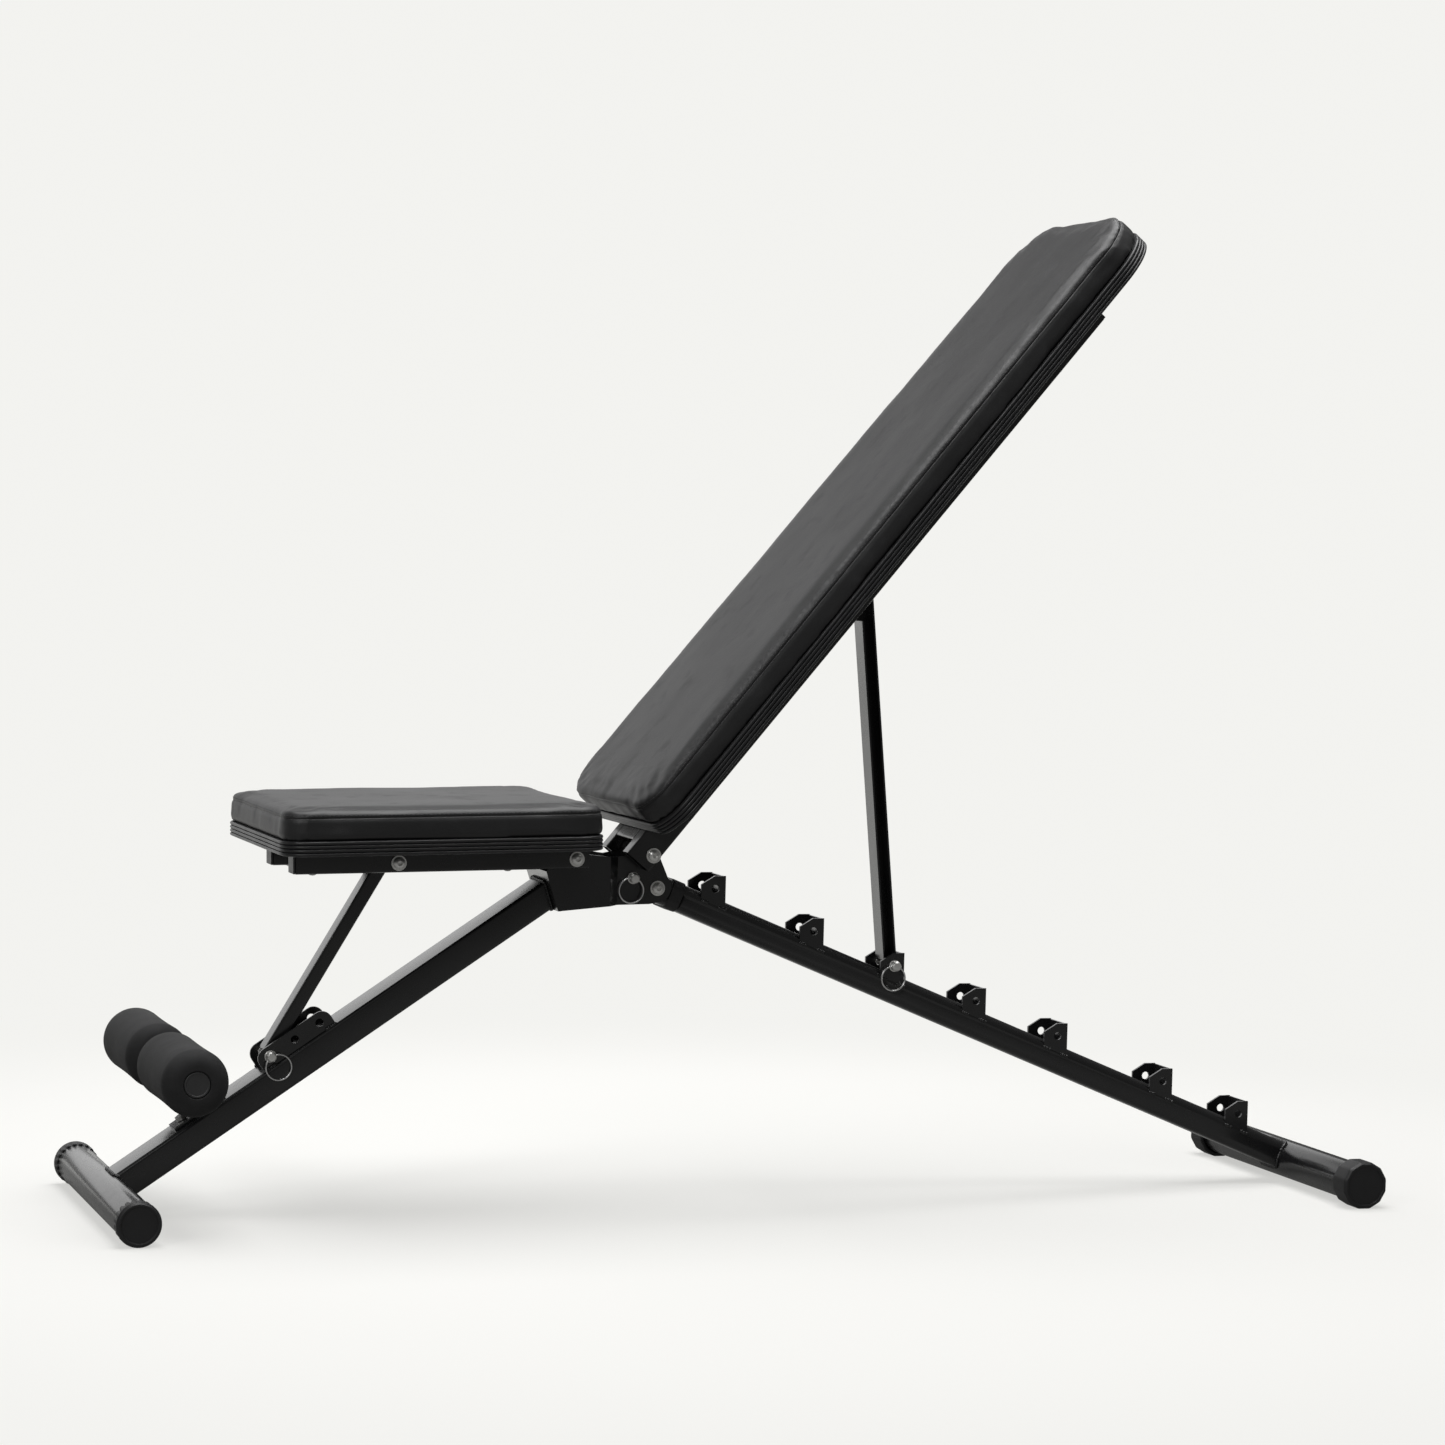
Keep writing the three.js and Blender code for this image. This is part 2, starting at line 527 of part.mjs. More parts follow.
const SEAT_PAD_REAR = 11;
const seatPadFront = SEAT_PAD_REAR - SEAT_LENGTH;
const seatBoardZ = SEAT_RAIL_TOP + GAP;
place(seat, 'seat_board', alongZ(
  padOutline(seatPadFront, SEAT_PAD_REAR, SEAT_WIDTH, SEAT_WIDTH, 30, 30),
  0, BOARD_THICKNESS), leather, 0, seatBoardZ);
place(seat, 'seat_cushion', cushionSolid(
  seatPadFront + 2, SEAT_PAD_REAR - 2, SEAT_WIDTH - 4, SEAT_WIDTH - 4, 30, 30),
leather, 0, seatBoardZ + BOARD_THICKNESS + GAP);

// ---- Pivot bolts --------------------------------------------------------------------------
// Bolt: washer, domed head and shank, head towards -Y, with the washer's inner face at y = 0.
// Nut: washer and lock nut, washer's inner face at y = 0, body towards +Y.
const WASHER_RADIUS = 8.2;
const WASHER = 1.6;

function bolt(length) {
  return turned([
    [0, -WASHER - 4.6], [3.4, -WASHER - 4.4], [5.6, -WASHER - 3], [6.6, -WASHER],
    [WASHER_RADIUS, -WASHER], [WASHER_RADIUS, 0], [BOLT_RADIUS, 0], [BOLT_RADIUS, length],
    [0, length],
  ], 14);
}

function nut() {
  const washer = rodAlongY(0, 0, WASHER_RADIUS, 0, WASHER, 14);
  const hexagon = rodAlongY(0, 0, 7.3, WASHER - 0.2, WASHER + 7, 6);
  return cut(join(washer, hexagon), rodAlongY(0, 0, BOLT_RADIUS + GAP, -1, WASHER + 8, 12));
}

function boltThrough(parent, name, x, z, halfSpan) {
  place(parent, `${name}_bolt`, bolt(2 * (halfSpan + GAP) + WASHER + 8.5), zinc, x, z, -halfSpan - GAP);
  place(parent, `${name}_nut`, nut(), zinc, x, z, halfSpan + GAP);
}

// A tube on the bolt that keeps a strut in the middle between its two rails.
function spacer(length) {
  const ring = new THREE.Shape().absarc(0, 0, 7, 0, 2 * Math.PI);
  ring.holes.push(boredDisc(0, 0, BOLT_RADIUS + GAP));
  return alongY(ring, -length / 2, length / 2, 6);
}

const STRUT_HALF = 12.5;                // struts, across Y
const BACK_RAIL_INNER = 30;
const BACK_RAIL_WIDTH = 20;
const backRailOuter = BACK_RAIL_INNER + BACK_RAIL_WIDTH;

boltThrough(bench, 'seat_pivot', ...SEAT_PIVOT, seatRailOuter);
boltThrough(bench, 'back_pivot', ...BACK_PIVOT, backRailOuter);
boltThrough(bench, 'leg_pivot', ...LEG_PIVOT, HUB_NARROW);
boltThrough(seat, 'seat_strut', SEAT_STRUT_ALONG, 0, seatRailOuter);

for (const [side, sign] of sides) {
  const room = seatRailInner - STRUT_HALF - 2 * GAP;
  place(seat, `seat_strut_spacer_${side}`, spacer(room), zinc,
    SEAT_STRUT_ALONG, 0, sign * (STRUT_HALF + GAP + room / 2));
}

// ---- Backrest -----------------------------------------------------------------------------
// Its own +X runs up the backrest and its +Z out of the cushion; the pivot is its origin.
const back = assembly(BACK_PIVOT, BACK_ANGLE);
const BACK_RAIL_HEIGHT = 32;
const BACK_RAIL_REAR = -8;              // rear face of the rails behind the pivot
const BACK_RAIL_LOW = -16;
const BACK_RAIL_TOP = 775;
const BACK_STRUT_POINT = [392.3, 8];    // strut pivot on the backrest
const backRailZ = BACK_RAIL_REAR + BACK_RAIL_HEIGHT / 2;
const backBoardZ = BACK_RAIL_REAR + BACK_RAIL_HEIGHT + GAP;

for (const [side, sign] of sides) {
  const y = sign * (BACK_RAIL_INNER + BACK_RAIL_WIDTH / 2);
  const rail = squareRail(BACK_RAIL_WIDTH, BACK_RAIL_HEIGHT, BACK_RAIL_LOW, BACK_RAIL_TOP,
    [[0, -backRailZ], [BACK_STRUT_POINT[0], BACK_STRUT_POINT[1] - backRailZ]]);
  place(back, `back_rail_${side}`, rail, blackSteel, 0, backRailZ, y);
  const plug = place(back, `back_rail_plug_${side}`, railPlug(BACK_RAIL_WIDTH, BACK_RAIL_HEIGHT),
    plastic, BACK_RAIL_TOP, backRailZ, y);
  plug.rotation.z = Math.PI;
}
const crossSpan = 2 * (BACK_RAIL_INNER - GAP);
const crossTube = roundedRectangle(18, 10, 2);
crossTube.holes.push(roundedRectangle(15, 7, 0.8));
place(back, 'back_cross_tube', alongY(crossTube, -crossSpan / 2, crossSpan / 2, 2), blackSteel,
  10, 18.9);

const BACK_PAD_LOW = 14;
const BACK_CORNER_LOW = 45;
const BACK_CORNER_TOP = 64;
place(back, 'back_board', alongZ(padOutline(
  BACK_PAD_LOW, BACK_PAD_LOW + BACK_LENGTH, BACK_WIDTH_LOW, BACK_WIDTH_TOP,
  BACK_CORNER_LOW, BACK_CORNER_TOP), 0, BOARD_THICKNESS), leather, 0, backBoardZ);
place(back, 'back_cushion', cushionSolid(
  BACK_PAD_LOW + 2, BACK_PAD_LOW + BACK_LENGTH - 2, BACK_WIDTH_LOW - 4, BACK_WIDTH_TOP - 4,
  BACK_CORNER_LOW, BACK_CORNER_TOP),
leather, 0, backBoardZ + BOARD_THICKNESS + GAP);

boltThrough(back, 'back_strut', ...BACK_STRUT_POINT, backRailOuter);
for (const [side, sign] of sides) {
  const room = BACK_RAIL_INNER - STRUT_HALF - 2 * GAP;
  place(back, `back_strut_spacer_${side}`, spacer(room), zinc,
    ...BACK_STRUT_POINT, sign * (STRUT_HALF + GAP + room / 2));
}

// ---- Struts -------------------------------------------------------------------------------
// Each strut is drawn with its pivot at the origin and its foot at +X, where a half-round saddle
// sits over the pin with a little room around it.
const STRUT_DEPTH = 15;                 // struts, in the plane of the frame

function worldPoint([x, z], rise, [along, up]) {
  const a = radians(rise);
  return [x + along * Math.cos(a) - up * Math.sin(a), z + along * Math.sin(a) + up * Math.cos(a)];
}

function strutGroup(top, foot) {
  const rise = THREE.MathUtils.radToDeg(Math.atan2(foot[1] - top[1], foot[0] - top[0]));
  return { group: assembly(top, rise), length: Math.hypot(foot[0] - top[0], foot[1] - top[1]) };
}

// Channel open towards -Y, for the backrest.
const backStrutTop = worldPoint(BACK_PIVOT, BACK_ANGLE, BACK_STRUT_POINT);
const backStrut = strutGroup(backStrutTop, ladderPoint(STRUT_STEP));

function backStrutChannel(length) {
  const [w, h, t] = [STRUT_HALF, STRUT_DEPTH / 2, 2];
  const channel = alongX(polygon([
    [-w, -h], [w, -h], [w, h], [-w, h], [-w, h - t], [w - t, h - t], [w - t, t - h], [-w, t - h],
  ]), -12, length - 1.5);
  return cut(channel,
    rodAlongY(0, 0, BOLT_RADIUS + GAP, 0, w + 1),
    rodAlongY(length, 0, SADDLE_RADIUS, 0, w + 1),
    // The flange that faces forwards stops short of both ends.
    alongY(polygon([[length - 7, -h - 1], [length + 1, -h + 5], [length + 1, -h - 1]]), -w - 1, w + 1),
    new THREE.BoxGeometry(66, 2 * w + 2, t + 2).translate(20, -t - 1, -h + (t - 2) / 2));
}
place(backStrut.group, 'back_strut', backStrutChannel(backStrut.length), blackSteel);

// Closed tube, for the seat.
const seatStrutTop = worldPoint(SEAT_PIVOT, SEAT_RISE, [SEAT_STRUT_ALONG, 0]);
const seatPinPoint = worldPoint(frontFoot, FRONT_LEG_ANGLE, [SEAT_HOLES[0], SEAT_HOLE_HEIGHT]);
const seatStrut = strutGroup(seatStrutTop, seatPinPoint);

function seatStrutTube(length) {
  const tube = tubeAlongX(2 * STRUT_HALF, STRUT_DEPTH, 2, 1.5, -7.2, length - 3, 1);
  return cut(tube,
    rodAlongY(0, 0, BOLT_RADIUS + GAP, -20, 20, 12),
    rodAlongY(length, 0, SADDLE_RADIUS, -20, 20, 16));
}
place(seatStrut.group, 'seat_strut', seatStrutTube(seatStrut.length), blackSteel);

// ---- Quick-release pins and their rings ---------------------------------------------------
// The pin's head is at -Y with a hole across it for the ring; y = 0 is the face it stops on.
const HEAD_RADIUS = 5.5;
const HEAD_LENGTH = 8;
const RING_HOLE = 2.8;

function pin(length) {
  const shank = turned([
    [0, -HEAD_LENGTH - 1], [HEAD_RADIUS - 1.5, -HEAD_LENGTH - 1], [HEAD_RADIUS, -HEAD_LENGTH + 0.5],
    [HEAD_RADIUS, -1.2], [6.5, -1.2], [6.5, 0], [PIN_RADIUS, 0], [PIN_RADIUS, length - 2],
    [PIN_RADIUS - 1.6, length], [0, length],
  ], 14);
  const eye = new THREE.CylinderGeometry(RING_HOLE, RING_HOLE, 20, 12)
    .rotateZ(Math.PI / 2).translate(0, -HEAD_LENGTH / 2 - 0.8, 0);
  return cut(shank, eye);
}

function pinWithRing(name, [x, z], face, reach, swing) {
  const group = new THREE.Group();
  group.position.set(x, -face - GAP, z);
  group.rotation.y = -radians(swing);
  bench.add(group);
  place(group, `${name}_pin`, pin(reach), zinc);
  const ring = new THREE.TorusGeometry(RING_RADIUS, RING_WIRE, 5, 20).rotateX(Math.PI / 2);
  place(group, `${name}_ring`, ring, zinc, 0, -RING_RADIUS, -HEAD_LENGTH / 2 - 0.8);
}

const ladderFace = LEG_WIDTH / 2;
pinWithRing('seat_lock', seatPinPoint, ladderFace - 3, 2 * ladderFace + 2, 36);
pinWithRing('hub_lock', hubPinPoint(), HUB_NARROW, 2 * HUB_NARROW + 6, -15);
pinWithRing('back_lock', ladderPoint(STRUT_STEP), ladderFace, 2 * ladderFace + 6, -12);

export default bench;
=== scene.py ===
import json
import math
import bmesh
import bpy
import numpy as np
from mathutils import Matrix, Vector, noise
from mathutils.bvhtree import BVHTree


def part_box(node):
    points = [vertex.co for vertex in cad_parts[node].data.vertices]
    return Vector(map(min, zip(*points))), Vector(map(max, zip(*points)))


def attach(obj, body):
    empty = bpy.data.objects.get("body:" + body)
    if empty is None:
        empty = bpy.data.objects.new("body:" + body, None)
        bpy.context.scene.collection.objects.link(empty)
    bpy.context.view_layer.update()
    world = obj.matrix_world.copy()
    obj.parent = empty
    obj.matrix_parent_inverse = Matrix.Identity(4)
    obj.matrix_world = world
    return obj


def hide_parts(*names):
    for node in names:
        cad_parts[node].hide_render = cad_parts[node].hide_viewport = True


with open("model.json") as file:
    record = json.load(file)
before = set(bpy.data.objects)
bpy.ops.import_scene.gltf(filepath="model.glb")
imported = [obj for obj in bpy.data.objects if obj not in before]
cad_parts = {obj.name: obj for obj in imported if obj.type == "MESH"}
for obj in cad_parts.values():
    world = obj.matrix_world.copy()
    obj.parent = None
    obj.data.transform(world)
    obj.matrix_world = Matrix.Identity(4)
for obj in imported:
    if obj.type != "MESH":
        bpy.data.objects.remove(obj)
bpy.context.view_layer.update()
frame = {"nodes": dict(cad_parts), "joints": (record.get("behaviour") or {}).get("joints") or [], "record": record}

scene = bpy.context.scene

# ---- The view -----------------------------------------------------------------------------
# A long lens stands off the front of the bench on its near side, a little above the seat, and
# looks slightly down at it.
LENS_PLACE = (-1.3827, -4.1164, 0.7278)
LENS_TURN = math.radians(18.365)
LENS_DIP = math.radians(2.789)
LENS_ROLL = math.radians(1.479)

camera = bpy.data.objects.new("camera", bpy.data.cameras.new("camera"))
scene.collection.objects.link(camera)
camera.data.lens = 100
camera.data.sensor_width = 36
camera.data.clip_end = 60
camera.matrix_world = (
    Matrix.Translation(LENS_PLACE)
    @ Matrix.Rotation(-LENS_TURN, 4, "Z")
    @ Matrix.Rotation(math.pi / 2 - LENS_DIP, 4, "X")
    @ Matrix.Rotation(LENS_ROLL, 4, "Z")
)
scene.camera = camera
scene.view_settings.view_transform = "Standard"


# ---- The studio ---------------------------------------------------------------------------
# A pale seamless floor that runs out into a pale surround, with a large soft light overhead,
# a white wall of light behind the bench and a small one in front. Black coats mirror what they
# face, so the floor and the surround give them less light than they show to the lens.
class Level:
    """A node's output, which can be used in sums."""

    def __init__(self, finish, socket):
        self.finish = finish
        self.socket = socket

    def worked(self, operation, first, second=0.0):
        return self.finish.node("ShaderNodeMath", {"operation": operation}, {0: first, 1: second})

    def __add__(self, other):
        return self.worked("ADD", self, other)

    __radd__ = __add__

    def __mul__(self, other):
        return self.worked("MULTIPLY", self, other)

    __rmul__ = __mul__

    def __sub__(self, other):
        return self.worked("SUBTRACT", self, other)

    def __rsub__(self, other):
        return self.worked("SUBTRACT", other, self)


class Finish:
    """A material or a world, built as a tree of nodes."""

    def __init__(self, owner):
        self.owner = owner
        owner.use_nodes = True
        self.tree = owner.node_tree
        self.tree.nodes.clear()

    def node(self, kind, settings=None, values=None, out=0):
        made = self.tree.nodes.new(kind)
        for name, value in (settings or {}).items():
            if name == "stops":
                for stop, (place, level) in zip(made.color_ramp.elements, value):
                    stop.position = place
                    stop.color = (level, level, level, 1)
            else:
                setattr(made, name, value)
        for name, value in (values or {}).items():
            if isinstance(value, Level):
                self.tree.links.new(value.socket, made.inputs[name])
            else:
                made.inputs[name].default_value = value
        return Level(self, made.outputs[out]) if made.outputs else None

    def mixed(self, factor, low, high):
        """A colour between two."""
        return self.node(
            "ShaderNodeMix", {"data_type": "RGBA"}, {0: factor, 6: (*low, 1), 7: (*high, 1)}, out=2)

    def place(self):
        return self.node("ShaderNodeTexCoord", out="Object")

    def stretched(self, scale):
        return self.node("ShaderNodeMapping", None, {"Vector": self.place(), "Scale": scale})

    def cloud(self, scale, detail=2.0, where=None, **settings):
        values = {"Vector": where or self.place(), "Scale": scale, "Detail": detail}
        return self.node("ShaderNodeTexNoise", None, {**values, **settings})

    def bumped(self, height, depth, strength=1.0, under=None):
        values = {"Height": height, "Distance": depth, "Strength": strength}
        if under:
            values["Normal"] = under
        return self.node("ShaderNodeBump", None, values)

    def surface(self, **values):
        named = {name.replace("_", " "): value for name, value in values.items()}
        shader = self.node("ShaderNodeBsdfPrincipled", None, named)
        self.node("ShaderNodeOutputMaterial", None, {"Surface": shader})
        return self.owner


def new_finish(name):
    return Finish(bpy.data.materials.new(name))


PALE = (0.895, 0.893, 0.868)
FLOOR_REACH = 12.0
SHADE_START = 0.9
SHADE_END = 1.7

air = Finish(bpy.data.worlds.new("surround"))
seen = air.node("ShaderNodeLightPath", out="Is Camera Ray")
dim = air.node("ShaderNodeBackground", None, {"Color": (*PALE, 1), "Strength": 0.11})
pale = air.node("ShaderNodeBackground", None, {"Color": (*PALE, 1), "Strength": 1.0})
air.node("ShaderNodeOutputWorld", None, {
    "Surface": air.node("ShaderNodeMixShader", None, {0: seen, 1: dim, 2: pale})})
scene.world = air.owner

paper = new_finish("studio floor")
glow = paper.node("ShaderNodeEmission", None, {"Color": (*PALE, 1), "Strength": 1.0})
part_glow = paper.node("ShaderNodeEmission", None, {"Color": (*PALE, 1), "Strength": 0.62})
matt = paper.node("ShaderNodeBsdfDiffuse", None, {"Color": (0.36, 0.358, 0.35, 1)})
lit = paper.node("ShaderNodeAddShader", None, {0: part_glow, 1: matt})
distance = paper.node("ShaderNodeVectorMath", {"operation": "LENGTH"}, {0: paper.place()}, out="Value")
fade = paper.node("ShaderNodeMapRange", {"interpolation_type": "SMOOTHSTEP"}, {
    "Value": distance, "From Min": SHADE_START, "From Max": SHADE_END})
shown = paper.node("ShaderNodeMixShader", None, {0: fade, 1: lit, 2: glow})
depth = paper.node("ShaderNodeSeparateXYZ", None, {0: paper.place()}, out="Y")
sweep = paper.node("ShaderNodeMapRange", {"interpolation_type": "SMOOTHSTEP"}, {
    "Value": depth, "From Min": 0.3, "From Max": 1.5, "To Min": 0.12, "To Max": 0.85})
faint_glow = paper.node("ShaderNodeEmission", None, {"Color": (*PALE, 1), "Strength": sweep})
dull = paper.node("ShaderNodeBsdfDiffuse", None, {"Color": (0.13, 0.13, 0.128, 1)})
cast_back = paper.node("ShaderNodeAddShader", None, {0: faint_glow, 1: dull})
looked_at = paper.node("ShaderNodeLightPath", out="Is Camera Ray")
paper.node("ShaderNodeOutputMaterial", None, {
    "Surface": paper.node("ShaderNodeMixShader", None, {0: looked_at, 1: cast_back, 2: shown})})

floor_mesh = bpy.data.meshes.new("floor")
corners = [(x * FLOOR_REACH, y * FLOOR_REACH, 0) for x, y in ((-1, -1), (1, -1), (1, 1), (-1, 1))]
floor_mesh.from_pydata(corners, [], [(0, 1, 2, 3)])
floor_mesh.materials.append(paper.owner)
floor = bpy.data.objects.new("floor", floor_mesh)
scene.collection.objects.link(floor)


def soft_light(name, place, target, width, height, watts):
    light = bpy.data.lights.new(name, "AREA")
    light.shape = "RECTANGLE"
    light.size = width
    light.size_y = height
    light.energy = watts
    lamp = bpy.data.objects.new(name, light)
    scene.collection.objects.link(lamp)
    lamp.location = place
    lamp.rotation_euler = (Vector(target) - Vector(place)).to_track_quat("-Z", "Y").to_euler()
    lamp.visible_camera = False


soft_light("overhead", (0.1, 0.2, 2.6), (0.1, 0.2, 0), 2.6, 2.2, 88)
soft_light("wall", (-0.4, 3.2, 1.25), (-0.1, 0, 0.6), 5.0, 1.9, 25)
soft_light("front", (-3.0, -2.6, 2.3), (0, 0, 0.4), 0.9, 0.9, 32)


# ---- Foot bars ----------------------------------------------------------------------------
# Two round steel tubes in gloss black powder coat lie across the bench, one under each leg.
# Each has a moulded cup over both ends: the front ones scalloped, the rear ones twelve-sided.
bodies = frame["record"]["behaviour"]["bodies"]
home = {node: body for body, nodes in bodies.items() for node in nodes}


def centre(node):
    low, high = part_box(node)
    return (low + high) / 2


def half_height(node):
    low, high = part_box(node)
    return (high.z - low.z) / 2


def solid(name, points, faces, material, sharp=28):
    """A mesh object with faces outwards, smooth but for its sharp edges."""
    mesh = bpy.data.meshes.new(name)
    mesh.from_pydata([tuple(p) for p in points], [], faces)
    work = bmesh.new()
    work.from_mesh(mesh)
    bmesh.ops.recalc_face_normals(work, faces=work.faces)
    work.to_mesh(mesh)
    work.free()
    mesh.shade_smooth()
    mesh.set_sharp_from_angle(angle=math.radians(sharp))
    mesh.materials.append(material)
    made = bpy.data.objects.new(name, mesh)
    scene.collection.objects.link(made)
    return made


def fitted(piece, slot, *nodes, body=None):
    """The piece rides where the nodes that it stands for ride."""
    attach(piece, body or home[nodes[0]])
    if nodes:
        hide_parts(*nodes)
    return piece


def softened(path, radius, closed=False, steps=4):
    """The path with its corners rounded."""
    soft = []
    for i, point in enumerate(path):
        here = Vector(point)
        if not closed and i in (0, len(path) - 1):
            soft.append(here)
            continue
        before = Vector(path[i - 1]) - here
        after = Vector(path[(i + 1) % len(path)]) - here
        reach = min(radius, 0.45 * before.length, 0.45 * after.length)
        start = here + before.normalized() * reach
        end = here + after.normalized() * reach
        for k in range(steps + 1):
            t = k / steps
            soft.append(start * (1 - t) ** 2 + here * 2 * t * (1 - t) + end * t * t)
    return soft


def turned(name, profile, place, material, steps=64, closed=False, swell=None, sharp=28):
    """A solid turned about Y from points of (radius, y), from axis to axis or in a closed loop."""
    points, rings = [], []
    for radius, y in profile:
        ring = []
        for step in range(steps if radius > 1e-6 else 1):
            angle = 2 * math.pi * step / steps
            reach = radius * (swell(angle, radius, y) if swell else 1)
            ring.append(len(points))
            points.append(place @ Vector((reach * math.cos(angle), y, reach * math.sin(angle))))
        rings.append(ring)
    faces = []
    for a, b in zip(rings, rings[1:] + rings[:1] if closed else rings[1:]):
        for k in range(max(len(a), len(b))):
            face = (a[k % len(a)], a[(k + 1) % len(a)], b[(k + 1) % len(b)], b[k % len(b)])
            face = list(dict.fromkeys(face))
            if len(face) > 2:
                faces.append(face)
    return solid(name, points, faces, material, sharp)


def facing(point, sign=-1):
    """Where a turned piece goes: its own -Y points to the near side, or to the far one."""
    turn = Matrix.Identity(4) if sign < 0 else Matrix.Rotation(math.pi, 4, "Z")
    return Matrix.Translation(point) @ turn


def powder_coat():
    """Gloss black with a faint orange-peel skin."""
    coat = new_finish("black powder coat")
    peel = coat.cloud(900, 2)
    drift = coat.cloud(14, 3)
    dust = coat.node("ShaderNodeValToRGB", {"stops": [(0.52, 0.0), (0.78, 1.0)]}, {0: coat.cloud(60, 6)})
    return coat.surface(
        Base_Color=coat.mixed(drift, (0.0085, 0.0085, 0.009), (0.014, 0.014, 0.015)),
        Roughness=0.22 + 0.10 * drift + 0.05 * dust,
        Coat_Weight=0.42 + 0.2 * drift,
        Coat_Roughness=0.14,
        Specular_IOR_Level=0.46,
        Normal=coat.bumped(peel, 0.00006, 0.12))


def moulded(name, dark, pale, matt, spread, patch_scale, grain_scale, grain_detail, depth, strength):
    """Moulded plastic: its tone and gloss drift in patches, under a fine grain."""
    skin = new_finish(name)
    patch = skin.cloud(patch_scale, 4)
    grain = skin.cloud(grain_scale, grain_detail)
    return skin.surface(
        Base_Color=skin.mixed(patch, (dark, dark, dark + 0.001), (pale, pale, pale + 0.001)),
        Roughness=matt + spread * patch,
        Normal=skin.bumped(grain, depth, strength))


black_coat = powder_coat()
cap_plastic = moulded("moulded plastic", 0.011, 0.021, 0.42, 0.16, 35, 1500, 3, 0.00012, 0.5)
WALL = 0.002
SCALLOPS = 20
SCALLOP_DEPTH = 0.0019
CAP_SIDES = 12
CAP_LENGTH = {"front": 0.019, "rear": 0.030}
CAP_STEPS = {"front": 240, "rear": 144}
CAP_RIM = 0.0045
ROUND_WITHIN = 0.0205
SCALLOPS_START = 0.009
CORNER_CUT = 0.992

for end in ("front", "rear"):
    low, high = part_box(f"{end}_foot_tube")
    radius = half_height(f"{end}_foot_tube")
    half = (high.y - low.y) / 2
    bar = turned(f"{end}_foot_bar", softened([
        (radius, -half), (radius, half), (radius - WALL, half), (radius - WALL, -half)], 0.0004, True),
        facing(centre(f"{end}_foot_tube")), black_coat, 96, True)
    fitted(bar, "black_steel", f"{end}_foot_tube")


def scalloped(angle, radius, y):
    """How far out the front cups reach: their fingertip hollows begin behind the face."""
    if radius < ROUND_WITHIN or y < SCALLOPS_START:
        return 1
    return 1 - SCALLOP_DEPTH / radius * (0.5 + 0.5 * math.cos(SCALLOPS * angle)) ** 2


def twelve_sided(angle, radius, y):
    """How far out the rear cups reach, with the corners of their twelve sides taken off."""
    if radius < ROUND_WITHIN:
        return 1
    side = 2 * math.pi / CAP_SIDES
    off = (angle + side / 2) % side - side / 2
    return min(1 / math.cos(off), CORNER_CUT / math.cos(side / 2))


def cap_profile(radius, length, tube, rim):
    """A cup from the middle of its face out, back along its outside, and in along the tube."""
    return softened([
        (0, 0.0018), (radius - rim, 0.0018), (radius - rim, 0.0004), (radius - rim + 0.001, 0),
        (radius - 0.0022, 0), (radius, 0.003), (radius, length - 0.0008), (radius - 0.001, length),
        (tube + 0.0003, length), (tube + 0.0003, 0.0028), (0, 0.0028)], 0.0009)


for side, sign in (("near", -1), ("far", 1)):
    for end, shape in (("front", scalloped), ("rear", twelve_sided)):
        node = f"{end}_foot_cap_{side}"
        low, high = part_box(node)
        tube = half_height(f"{end}_foot_tube")
        radius = centre(f"{end}_foot_tube").z
        face = Vector(centre(f"{end}_foot_tube"))
        face.y = sign * max(abs(low.y), abs(high.y))
        cup = turned(f"{end}_cap_{side}", cap_profile(radius, CAP_LENGTH[end], tube, CAP_RIM),
                     facing(face, sign), cap_plastic, CAP_STEPS[end], swell=shape, sharp=24)
        fitted(cup, "plastic", node)


# ---- Front leg ----------------------------------------------------------------------------
# A 50 by 30 mm rectangular tube with small corners runs up from the front foot bar. Its lower
# end is coped round the bar, and its upper end is cut to butt on the front face of the hub.
LEG_WIDTH = 0.050
LEG_HEIGHT = 0.030
FRONT_CORNER = 0.0040
FRONT_RISE = math.radians(33.8)
HUB_FACE_TOP = (-0.222, 0.359)
HUB_FACE_LOW = (-0.208, 0.3165)
GAP = 0.0003

pivots = {joint["name"]: Vector(joint.get("pos_m", (0, 0, 0))) for joint in frame["joints"]}


def tilted(point, rise):
    """A frame at a point of the XZ plane whose own +X rises by an angle."""
    return Matrix.Translation((point[0], 0, point[-1])) @ Matrix.Rotation(-rise, 4, "Y")


def section(width, height, corner, steps=8):
    """A rectangle with round corners, as points of (y, z)."""
    path = []
    for quarter in range(4):
        turn = quarter * math.pi / 2
        side = (1 if quarter in (0, 3) else -1, 1 if quarter in (0, 1) else -1)
        for k in range(steps + 1):
            angle = turn + k * math.pi / 2 / steps
            path.append((side[0] * (width / 2 - corner) + corner * math.cos(angle),
                         side[1] * (height / 2 - corner) + corner * math.sin(angle)))
    return path


def skinned(name, loops, place, material, closed=False):
    """A solid skinned over loops of as many points each, flat at both ends or closed on itself."""
    count = len(loops[0])
    points = [place @ Vector(p) for loop in loops for p in loop]
    faces = [] if closed else [tuple(range(count)), tuple(range(len(points) - count, len(points)))]
    for a in range(len(loops) if closed else len(loops) - 1):
        b = (a + 1) % len(loops)
        for k in range(count):
            n = (k + 1) % count
            faces.append((a * count + k, a * count + n, b * count + n, b * count + k))
    return solid(name, points, faces, material)


def drawn_tube(name, outer, inner, start, end, place, material):
    """A tube along X whose two ends are cut by start(y, z) and end(y, z)."""
    return skinned(name, [
        [(start(y, z), y, z) for y, z in outer], [(end(y, z), y, z) for y, z in outer],
        [(end(y, z), y, z) for y, z in inner], [(start(y, z), y, z) for y, z in inner]],
        place, material, True)


